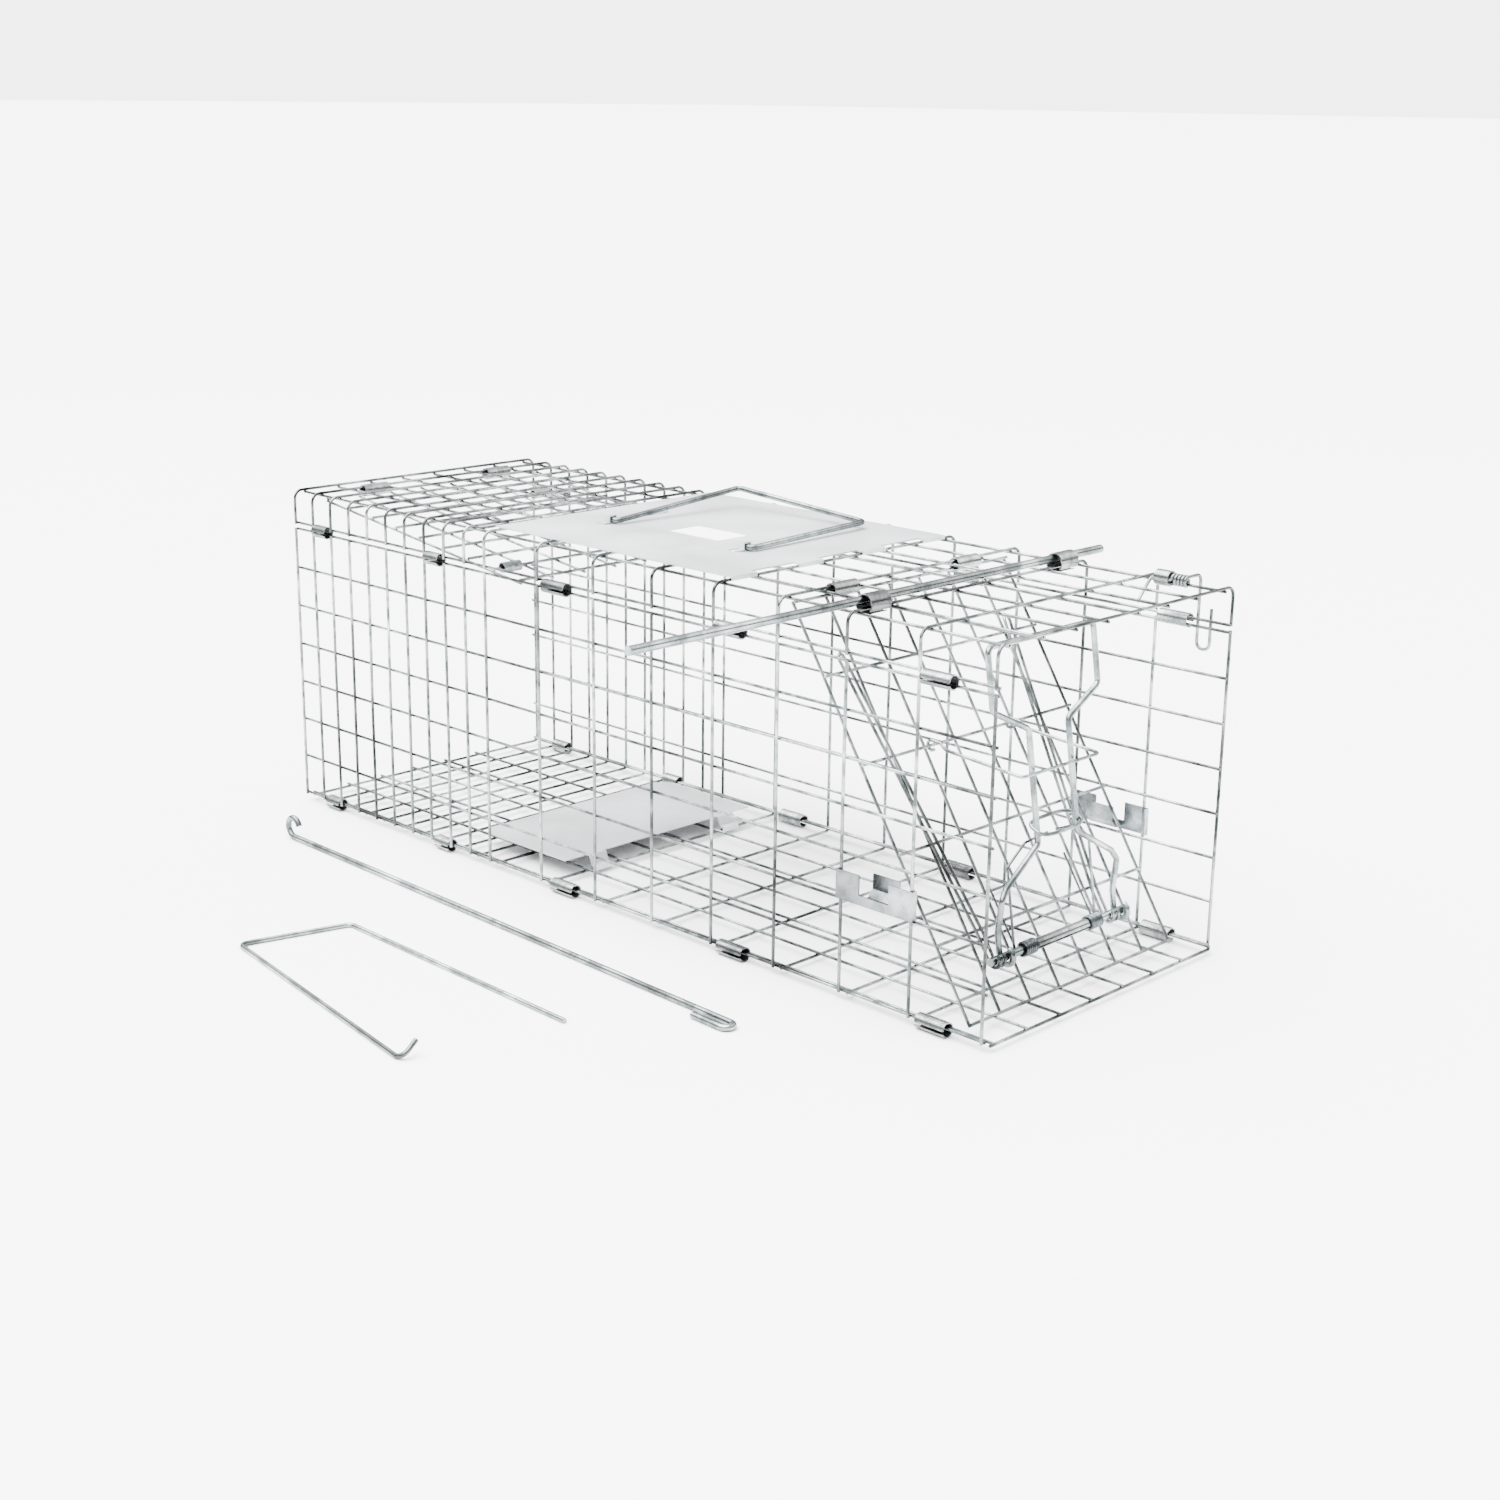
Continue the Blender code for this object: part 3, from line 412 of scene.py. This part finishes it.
def makeSleeve(node, axis, body="cage", seamAt=0):
    # a strip rolled round two wires, with its seam left a little open; seamAt is in degrees
    low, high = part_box(node)
    middle = (low + high) / 2
    size = high - low
    length = size.x if axis == "X" else size.y
    outer = min(size.y if axis == "X" else size.x, size.z) / 2
    if not node.startswith("floor"):
        outer *= sleeve["slim"]
    if node.startswith("set_rod"):
        length *= sleeve["clipShare"]
    inner = outer - sleeve["wall"]
    bm = bmesh.new()
    ring = [bm.verts.new((end * length / 2, 0, radius))
            for radius, end in ((inner, -1), (outer, -1), (outer, 1), (inner, 1))]
    edges = [bm.edges.new((ring[i], ring[(i + 1) % 4])) for i in range(4)]
    bmesh.ops.spin(bm, geom=ring + edges, cent=(0, 0, 0), axis=(1, 0, 0),
                   angle=math.tau - sleeve["seam"], steps=sleeve["steps"])
    bmesh.ops.holes_fill(bm, edges=[edge for edge in bm.edges if edge.is_boundary], sides=4)
    bmesh.ops.recalc_face_normals(bm, faces=bm.faces)
    # inner faces take slot 1, the near-black painted shade of the hollow; outer faces keep the zinc
    for face in bm.faces:
        spot = face.calc_center_median()
        reach = math.hypot(spot.y, spot.z)
        face.material_index = 1 if reach < (inner + outer) / 2 - sleeve["wall"] / 4 else 0
    bmesh.ops.rotate(bm, verts=bm.verts, matrix=Matrix.Rotation(math.radians(seamAt), 3, "X"))
    if axis == "Y":
        bmesh.ops.rotate(bm, verts=bm.verts, matrix=Matrix.Rotation(math.pi / 2, 3, "Z"))
    bmesh.ops.translate(bm, verts=bm.verts, vec=middle)
    mesh = bpy.data.meshes.new(node)
    bm.to_mesh(mesh)
    bm.free()
    mesh.shade_smooth()
    mesh.set_sharp_from_angle(angle=math.radians(40))
    mesh.materials.append(finishes["sleeve"])
    # slot 1: painted shade for the inside of the sleeve
    mesh.materials.append(paintedHollowShade)
    words = node.split("_")
    name = words[0] + "".join(word.capitalize() for word in words[1:])
    piece = bpy.data.objects.new(name, mesh)
    bpy.context.scene.collection.objects.link(piece)
    return settle(piece, body, "sleeve", node)


for word, turn in sleeve["longSeams"].items():
    for i in range(1, 6):
        makeSleeve(f"floor_sleeve_{word}_{i}", "X", seamAt=turn)
        makeSleeve(f"top_sleeve_{word}_{i}", "X", seamAt=turn)
    makeSleeve(f"door_sleeve_{word}", "Y", seamAt=sleeve["hingeSeam"])
    makeSleeve(f"rear_sleeve_{word}", "Y", seamAt=sleeve["hingeSeam"])
    makeSleeve(f"rear_row_sleeve_{word}", "Y", "rear_door", sleeve["hingeSeam"])
    makeSleeve(f"set_rod_clip_{word}", "Y", seamAt=sleeve["clipSeam"])
makeSleeve("latch_sleeve", "X", seamAt=sleeve["hingeSeam"])
makeSleeve("door_rod_spacer", "Y", "front_door", sleeve["spacerSeam"])
print("sleeves made")


# front door and its lock
door = {
    "reach": 0.133,           # how far its foot stands ahead of its hinge
    "halfWidth": 0.091,
    "rowPitch": 0.052, "rowCount": 4, "lastGap": 0.045,
    "floorGap": 0.0010,       # between the foot and the floor's wires
}
doorHinge = jointAt["front_door_hinge"]
rodAt = jointAt["lock_bar_pivot"]
doorDrop = doorHinge.z - (floorZ + crossHalf) - crossHalf - door["floorGap"]
doorLength = math.hypot(door["reach"], doorDrop)
doorAngle = math.atan2(doorDrop, door["reach"])
down = Vector((math.cos(doorAngle), 0, -math.sin(doorAngle)))
out = Vector((math.sin(doorAngle), 0, math.cos(doorAngle)))
innerRows = [doorLength - door["lastGap"] - door["rowPitch"] * i for i in range(door["rowCount"])]
rows = [0.0, *reversed(innerRows), doorLength]


def onDoor(along, across, lift):
    return Vector((doorHinge.x, centre.y + across, doorHinge.z)) + down * along + out * lift


def makeDoor():
    half = door["halfWidth"]
    rowWires = [strayed(onDoor(s, -half - strand, 0), onDoor(s, half + strand, 0)) for s in rows]
    fine = []
    for y in spaced(half, cage["longWires"]):
        head, foot = onDoor(-crossHalf, y, -weldStep), onDoor(doorLength + crossHalf, y, -weldStep)
        fine.append(strayed(head, foot, 8))
    wires("frontDoorRows", rowWires, cage["crossWire"], "front_door", "wire", ["front_door"])
    wires("frontDoorLongWires", fine, cage["longWire"], "front_door", "wire")


lock = {
    "rod": 0.0050, "gap": 0.0004,
    "bar": 0.0036, "lean": math.radians(9), "length": 0.167, "bend": 0.004,
    "footHalf": 0.0520, "wideHalf": 0.0465, "kneeHalf": 0.0475, "neckHalf": 0.0175,
    "footTop": 0.012,         # where a foot's hook ends and the leg goes on
    "kneeLow": 0.030, "kneeHigh": 0.036, "neckLow": 0.054, "neckHigh": 0.118, "headLow": 0.132,
    "spring": 0.0016, "shownSpring": 0.0014, "turns": 6, "nearStart": 0.028, "farStart": 0.020,
    "toe": 0.042,             # from the rod up the door to the end of a spring's lower leg
    "legGap": 0.0018,         # from a coil's end to the upper leg beside it
    "legStraight": 0.046, "legHigh": (0.056, 0.024), "legTip": (0.0575, 0.004), "legBend": 0.003,
}
rodDown = (rodAt - doorHinge).dot(down)
rodLift = (rodAt - doorHinge).dot(out)
barUp = Vector((-math.sin(lock["lean"]), 0, math.cos(lock["lean"])))
barOut = Vector((math.cos(lock["lean"]), 0, math.sin(lock["lean"])))


def onBar(along, across, lift=0.0):
    return Vector((rodAt.x, centre.y + across, rodAt.z)) + barUp * along + barOut * lift


def makeLock():
    rodLow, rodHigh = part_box("door_rod")
    ends = [Vector((rodAt.x, y, rodAt.z)) for y in (rodLow.y, rodHigh.y)]
    wires("doorRod", [ends], lock["rod"], "front_door", "rod", ["door_rod"], 5)

    hook = lock["rod"] / 2 + lock["gap"] + lock["bar"] / 2
    foot = {side: [onBar(lock["footTop"], side * lock["footHalf"], -hook)]
            + eye(onBar(0, side * lock["footHalf"]), -barOut, -barUp, hook, math.radians(240))
            for side in (-1, 1)}
    corners = [(lock["kneeLow"], lock["footHalf"]), (lock["kneeHigh"], lock["kneeHalf"]),
               (lock["neckLow"], lock["neckHalf"]), (lock["neckHigh"], lock["neckHalf"]),
               (lock["headLow"], lock["wideHalf"]), (lock["length"], lock["wideHalf"])]
    route = [foot[-1][0]] + [onBar(s, -y) for s, y in corners] + [onBar(s, y) for s, y in corners[::-1]]
    body = rounded(route + [foot[1][0]], lock["bend"])
    wires("lockBar", [foot[-1][1:][::-1] + body + foot[1][1:]], lock["bar"], "lock_bar", "rod",
          ["lock_bar"], 4)

    coilRadius = lock["rod"] / 2 + lock["gap"] + lock["spring"] / 2
    length = lock["spring"] * coilPitch * lock["turns"]
    rest = crossHalf + lock["gap"] + lock["spring"] / 2
    firstTurn = math.atan2(-down.z, -down.x) + math.pi / 2
    for word, side, start in (("Near", -1, lock["nearStart"]), ("Far", 1, lock["farStart"])):
        turns = coil((0, 0, 0), "Y", coilRadius, lock["spring"], lock["turns"], firstTurn, -1)
        middle = onBar(0, side * (start + length / 2))
        turns = [Vector((p.x, side * p.y, p.z)) + middle for p in turns]
        toe = onDoor(rodDown - lock["toe"], side * (start + length), rest)
        wires(f"lockSpring{word}", [turns + [toe]], lock["shownSpring"], "front_door", "spring",
              [f"lock_spring_{word.lower()}"])
        beside = start + length + lock["legGap"]
        spots = [(0.0, beside), (lock["legStraight"], beside), lock["legHigh"], lock["legTip"]]
        leg = [onBar(along, side * across, -coilRadius) for along, across in spots]
        wires(f"lockSpringLeg{word}", [rounded(leg, lock["legBend"])], lock["spring"], "lock_bar", "spring",
              [f"lock_spring_leg_{word.lower()}"])


arm = {
    "wire": 0.0020, "half": 0.0022,
    "top": 0.034,             # how far down the door its crown lies
    "foot": 0.016,            # from the rod up the door to where a leg starts
    "feet": {"Near": 0.060, "Far": 0.0425}, "heads": {"Near": 0.077, "Far": 0.066},
    "crown": [(0.004, -1), (0.0013, -0.7), (0.0, 0), (0.0013, 0.7), (0.004, 1)],  # along, across in halves
}


def makeArms():
    # each arm is one wire doubled back on itself, its ends hooked under the door rod
    hook = lock["rod"] / 2 + lock["gap"] + arm["wire"] / 2
    rest = crossHalf + lock["gap"] + arm["wire"] / 2
    for word, side in (("Near", -1), ("Far", 1)):
        foot, head = arm["feet"][word], arm["heads"][word]
        legs = []
        for offset in (-arm["half"], arm["half"]):
            pin = onDoor(rodDown, side * foot + offset, rodLift)
            start = onDoor(rodDown - arm["foot"], side * foot + offset, rest)
            legs.append([start] + eye(pin, -out, down, hook, math.radians(200)))
        crown = [onDoor(arm["top"] + along, side * head + arm["half"] * across, rest)
                 for along, across in arm["crown"]]
        wires(f"hairpinArm{word}", [legs[0][::-1] + crown + legs[1]], arm["wire"], "front_door", "wire",
              [f"hairpin_arm_{word.lower()}"], 3)


guide = {"wire": 0.0020, "half": 0.0345, "length": 0.0636, "droop": math.radians(4.3),
         "hookEnd": 0.006, "legStart": 0.010, "bend": 0.003}


def makeGuideLoop():
    pinAt = jointAt["guide_loop_pivot"]
    hook = crossHalf * math.sqrt(2) + lock["gap"] + guide["wire"] / 2
    ahead = Vector((math.cos(guide["droop"]), 0, -math.sin(guide["droop"])))
    above = Vector((math.sin(guide["droop"]), 0, math.cos(guide["droop"])))

    def spot(reach, across, lift=0.0):
        return Vector((pinAt.x, centre.y + across, pinAt.z)) + ahead * reach + above * lift

    half = guide["half"]
    ends = {side: [spot(guide["hookEnd"], side * half, hook)]
            + eye(spot(0, side * half), above, -ahead, hook, math.radians(230)) for side in (-1, 1)}
    bends = [spot(guide["legStart"], -half), spot(guide["length"], -half),
             spot(guide["length"], half), spot(guide["legStart"], half)]
    body = rounded([ends[-1][0]] + bends + [ends[1][0]], guide["bend"])
    wires("guideLoop", [ends[-1][1:][::-1] + body + ends[1][1:]], guide["wire"], "guide_loop", "wire",
          ["guide_loop"], 3)


link = {"wire": 0.0022, "depth": 0.0062, "square": 0.6, "points": 32}  # square: 1 is an ellipse, 0 a box


def makeNeckLink():
    # flat ring closed round both legs of the neck
    low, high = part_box("neck_link")
    middle, reach = (low + high) / 2, (high - low) / 2
    width, depth = reach.y - link["wire"] / 2, link["depth"]
    tilt = link["wire"] / 2 - reach.z
    ring = []
    for i in range(link["points"] + 1):
        angle = math.tau * i / link["points"]
        away = math.copysign(abs(math.cos(angle)) ** link["square"], math.cos(angle))
        side = math.copysign(abs(math.sin(angle)) ** link["square"], math.sin(angle))
        ring.append(middle + Vector((depth * away, width * side, tilt * away)))
    wires("neckLink", [ring], link["wire"], "lock_bar", "rod", ["neck_link"], 3)


makeDoor()
makeLock()
makeNeckLink()
makeArms()
makeGuideLoop()
print("front door made")

# rear door
rearDoor = {"length": 0.200, "gaps": 8, "droop": math.radians(7), "halfWidth": 0.091}


def makeRearDoor():
    hinge = jointAt["rear_door_hinge"]
    ahead = Vector((math.cos(rearDoor["droop"]), 0, -math.sin(rearDoor["droop"])))
    above = Vector((math.sin(rearDoor["droop"]), 0, math.cos(rearDoor["droop"])))

    def spot(along, across, lift):
        return Vector((hinge.x, centre.y + across, hinge.z)) + ahead * along + above * lift

    half = rearDoor["halfWidth"]
    length = rearDoor["length"]
    rowPlaces = [length * i / rearDoor["gaps"] for i in range(rearDoor["gaps"] + 1)]
    rowWires = [strayed(spot(s, -half - strand, 0), spot(s, half + strand, 0)) for s in rowPlaces]
    fine = []
    for y in spaced(half, cage["longWires"]):
        fine.append(strayed(spot(-crossHalf, y, -weldStep), spot(length + crossHalf, y, -weldStep), 8))
    wires("rearDoorRows", rowWires, cage["crossWire"], "rear_door", "wire", ["rear_door"])
    wires("rearDoorLongWires", fine, cage["longWire"], "rear_door", "wire")


makeRearDoor()
print("rear door made")

# top fittings: the handle is sprung a little out of square, its front leg lying lower
handle = {"wire": 0.0036, "rearX": -0.057, "frontX": 0.060, "reach": 0.1045, "lean": 0.0060,
          "rearRise": math.radians(5), "frontRise": math.radians(1), "end": 0.0085, "bend": 0.0035}


def makeHandle():
    pin = jointAt["handle_hinge"]

    def spot(x, reach, rise=0.0):
        return Vector((centre.x + x, pin.y + reach * math.cos(rise), pin.z + reach * math.sin(rise)))

    corners = [spot(handle["rearX"] - handle["end"], 0), spot(handle["rearX"], 0),
               spot(handle["rearX"] + handle["lean"] / 3, handle["reach"], handle["rearRise"]),
               spot(handle["frontX"] - handle["lean"], handle["reach"], handle["frontRise"]),
               spot(handle["frontX"], 0), spot(handle["frontX"] - handle["end"], 0)]
    wires("carryHandle", [rounded(corners, handle["bend"])], handle["wire"], "carry_handle", "rod",
          ["carry_handle"], 5)


def makeSetRod():
    low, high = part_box("set_rod")
    middle = (low + high) / 2
    steps = 10
    route = [Vector((middle.x, low.y + (high.y - low.y) * i / steps, middle.z)) for i in range(steps + 1)]
    wires("setRod", [route], high.z - low.z, "set_rod", "rod", ["set_rod"], 5)


latch = {
    "wire": 0.0020, "turns": 4.25, "sleeve": 0.0095,
    "armPast": 0.0040,        # how far past the sleeve the inner arm stands
    "armReach": 0.0120, "armDrop": 0.0130, "armStep": 0.0002, "armBend": 0.002,
    "coilStep": 0.001,        # where the sleeve's end of the coil starts
    "clear": 0.0015,          # between the outer leg and the cage's side
    "foot": 0.040, "footWidth": 0.0085, "footRise": 0.024, "legBend": 0.0038,
    "wallWire": 0.0008, "wallGap": 0.0006,
}


def makeLatch():
    pin = jointAt["latch_pivot"]
    radius = latch["wallWire"] * math.sqrt(2) + latch["wallGap"] + latch["wire"] / 2
    length = latch["wire"] * coilPitch * latch["turns"]
    turns = coil((pin.x + length / 2, pin.y, pin.z), "X", radius, latch["wire"], latch["turns"], math.pi, -1)
    armX = pin.x - latch["sleeve"] - latch["armPast"]
    inside = [(armX, pin.y - radius - latch["armReach"], pin.z - latch["armDrop"]),
              (armX, pin.y - radius, pin.z - latch["armStep"]),
              (pin.x - latch["coilStep"], pin.y - radius, pin.z)]
    outX, footZ = turns[-1].x, pin.z - latch["foot"]
    tipX = outX + latch["footWidth"]
    clear = centre.y + halfWide + crossHalf + latch["wire"] / 2 + latch["clear"]
    outside = [turns[-1], (outX, clear, pin.z + radius), (outX, clear, footZ),
               (tipX, clear, footZ), (tipX, clear, footZ + latch["footRise"])]
    route = rounded(inside, latch["armBend"]) + turns[1:-1] + rounded(outside, latch["legBend"])
    wires("doorLatch", [route], latch["wire"], "door_latch", "rod", ["door_latch"], 3)


label = {"size": (0.042, 0.024), "place": (0.002, -0.012), "thick": 0.00015, "corner": 0.001,
         "lift": 0.00002}


def makeLabel():
    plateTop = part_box("guard_plate")[1].z
    bm = bmesh.new()
    bmesh.ops.create_grid(bm, x_segments=1, y_segments=1, size=0.5)
    bmesh.ops.scale(bm, verts=bm.verts, vec=(*label["size"], 1))
    bmesh.ops.bevel(bm, geom=bm.verts[:], offset=label["corner"], segments=4, profile=0.5, affect="VERTICES",
                    material=-1)
    lifted = bmesh.ops.extrude_face_region(bm, geom=bm.faces[:])
    verts = [item for item in lifted["geom"] if isinstance(item, bmesh.types.BMVert)]
    bmesh.ops.translate(bm, verts=verts, vec=(0, 0, label["thick"]))
    bmesh.ops.translate(bm, verts=bm.verts, vec=at(*label["place"], plateTop + label["lift"]))
    bmesh.ops.recalc_face_normals(bm, faces=bm.faces)
    mesh = bpy.data.meshes.new("blankLabel")
    bm.to_mesh(mesh)
    bm.free()
    mesh.materials.append(labelPaper)
    piece = bpy.data.objects.new("blankLabel", mesh)
    bpy.context.scene.collection.objects.link(piece)
    settle(piece, "cage", "sheet")


makeHandle()
makeSetRod()
makeLatch()
makeLabel()
print("top fittings made")

# sheet pieces keep their shape from the frame and get the sheet finish, the side catches the catch finish
plateFinish = {"guard_plate": "sheet", "handle_lug_rear": "sheet", "handle_lug_front": "sheet",
               "treadle": "sheet", "side_catch_near": "catch", "side_catch_far": "catch"}
for node, finish in plateFinish.items():
    mesh = frame["nodes"][node].data
    mesh.materials.clear()
    mesh.materials.append(finishes[finish])

# loose rods
triggerRod = {"wire": 0.0040, "length": 0.423, "front": (0.190, -0.173), "turn": math.radians(1.6),
              "curl": 0.0065, "curlTurn": 250, "fold": 0.0040, "return": 0.026}
rearRod = {"wire": 0.0030, "leg": 0.197, "width": 0.068, "corner": (-0.075, -0.230), "bend": 0.0045,
           "skew": math.radians(14.5), "slant": math.radians(-9.1),
           "spread": 0.004,   # how far its first leg swings out
           "tip": (-0.003, 0.012, 0.0065)}


def turned(base, angle):
    ahead = Vector((math.cos(angle), math.sin(angle), 0))
    aside = Vector((-math.sin(angle), math.cos(angle), 0))
    return lambda a, b, c: at(*base, 0) + ahead * a + aside * b + Vector((0, 0, c))


def makeLooseRods():
    level, curl = triggerRod["wire"] / 2, triggerRod["curl"]
    spot = turned(triggerRod["front"], math.pi - triggerRod["turn"])
    ring = []
    curlSteps, foldSteps = 16, 12
    for i in range(curlSteps + 1):
        angle = math.radians(-90 + triggerRod["curlTurn"] * i / curlSteps)
        ring.append(spot(triggerRod["length"] + curl * math.cos(angle), 0,
                         level + curl + curl * math.sin(angle)))
    fold = triggerRod["fold"]
    bend = []
    for i in range(foldSteps + 1):
        angle = math.pi * i / foldSteps
        bend.append(spot(fold - fold * math.sin(angle), fold - fold * math.cos(angle), level))
    end = spot(triggerRod["return"], 2 * fold, level)
    wires("triggerRod", [ring[::-1] + bend + [end]], triggerRod["wire"], "trigger_rod", "rod",
          ["trigger_rod"], 4)

    level = rearRod["wire"] / 2
    spot = turned(rearRod["corner"], 0)
    backX = -rearRod["width"] * math.sin(rearRod["skew"])
    backY = -rearRod["width"] * math.cos(rearRod["skew"])
    endX = backX + rearRod["leg"] * math.cos(rearRod["slant"])
    endY = backY + rearRod["leg"] * math.sin(rearRod["slant"])
    tipX, tipY, tipZ = rearRod["tip"]
    corners = [spot(rearRod["leg"], -rearRod["spread"], level), spot(0, 0, level), spot(backX, backY, level),
               spot(endX, endY, level), spot(endX + tipX, endY + tipY, level + tipZ)]
    wires("rearLockingRod", [rounded(corners, rearRod["bend"])], rearRod["wire"], "rear_locking_rod", "rod",
          ["rear_locking_rod"], 4)


makeLooseRods()
print("loose rods made")

# floor, light and camera
studio = {
    "floorSize": 60.0, "world": 5.0,
    "sky": [(0.0, 1.0), (0.06, 1.0), (0.12, 0.06), (0.35, 0.06), (0.55, 0.5), (1.0, 0.55)],  # height, shade
    "sun": 20.0, "sunSpread": 70, "sunTilt": (12, -14),
    "aim": (0, 0, 0.1),
    "lamps": {"keySoftbox": ((0.6, -1.6, 2.2), 1.6, 60), "fillSoftbox": ((-1.8, 0.4, 1.8), 1.8, 30),
              "rimSoftbox": ((0.8, 1.8, 1.6), 1.4, 25)},  # place, width and watts
}


def makeStudio():
    bm = bmesh.new()
    bmesh.ops.create_grid(bm, x_segments=1, y_segments=1, size=studio["floorSize"])
    mesh = bpy.data.meshes.new("studioFloor")
    bm.to_mesh(mesh)
    bm.free()
    mesh.materials.append(floorPaper)
    floor = bpy.data.objects.new("studioFloor", mesh)
    bpy.context.scene.collection.objects.link(floor)

    world = bpy.data.worlds.new("studio")
    bpy.context.scene.world = world
    world.use_nodes = True
    tree = world.node_tree
    back = tree.nodes["Background"]
    place = addNode(tree, "ShaderNodeTexCoord")
    split = addNode(tree, "ShaderNodeSeparateXYZ")
    tree.links.new(place.outputs["Generated"], split.inputs[0])
    ramp = addNode(tree, "ShaderNodeValToRGB")
    stops, sky = ramp.color_ramp.elements, studio["sky"]
    for i, (position, shade) in enumerate(sky[:1] + sky[-1:] + sky[1:-1]):
        stop = stops[i] if i < 2 else stops.new(position)
        stop.position, stop.color = position, (shade, shade, shade, 1)
    tree.links.new(split.outputs["Z"], ramp.inputs["Fac"])
    tree.links.new(ramp.outputs["Color"], back.inputs["Color"])
    back.inputs["Strength"].default_value = studio["world"]

    sun = bpy.data.lights.new("ceilingLight", "SUN")
    sun.energy, sun.angle = studio["sun"], math.radians(studio["sunSpread"])
    holder = bpy.data.objects.new("ceilingLight", sun)
    holder.rotation_euler = (*(math.radians(angle) for angle in studio["sunTilt"]), 0)
    bpy.context.scene.collection.objects.link(holder)
    for name, (place, size, power) in studio["lamps"].items():
        lamp = bpy.data.lights.new(name, "AREA")
        lamp.shape, lamp.size, lamp.energy = "SQUARE", size, power
        holder = bpy.data.objects.new(name, lamp)
        holder.location = place
        aim = Vector(studio["aim"]) - Vector(place)
        holder.rotation_euler = aim.to_track_quat("-Z", "Y").to_euler()
        bpy.context.scene.collection.objects.link(holder)


view = {"place": (0.972, -0.964, 0.477), "azimuth": 44.4, "elevation": 16.2, "roll": 0.73, "lens": 54.4}


def makeCamera():
    data = bpy.data.cameras.new("cornerView")
    data.lens, data.sensor_width = view["lens"], 36.0
    camera = bpy.data.objects.new("cornerView", data)
    bpy.context.scene.collection.objects.link(camera)
    turn = (Matrix.Rotation(math.radians(view["azimuth"]), 4, "Z")
            @ Matrix.Rotation(math.radians(90 - view["elevation"]), 4, "X")
            @ Matrix.Rotation(math.radians(view["roll"]), 4, "Z"))
    camera.matrix_world = Matrix.Translation(Vector(view["place"]) + centre) @ turn
    bpy.context.scene.camera = camera


makeStudio()
makeCamera()
print("studio made")
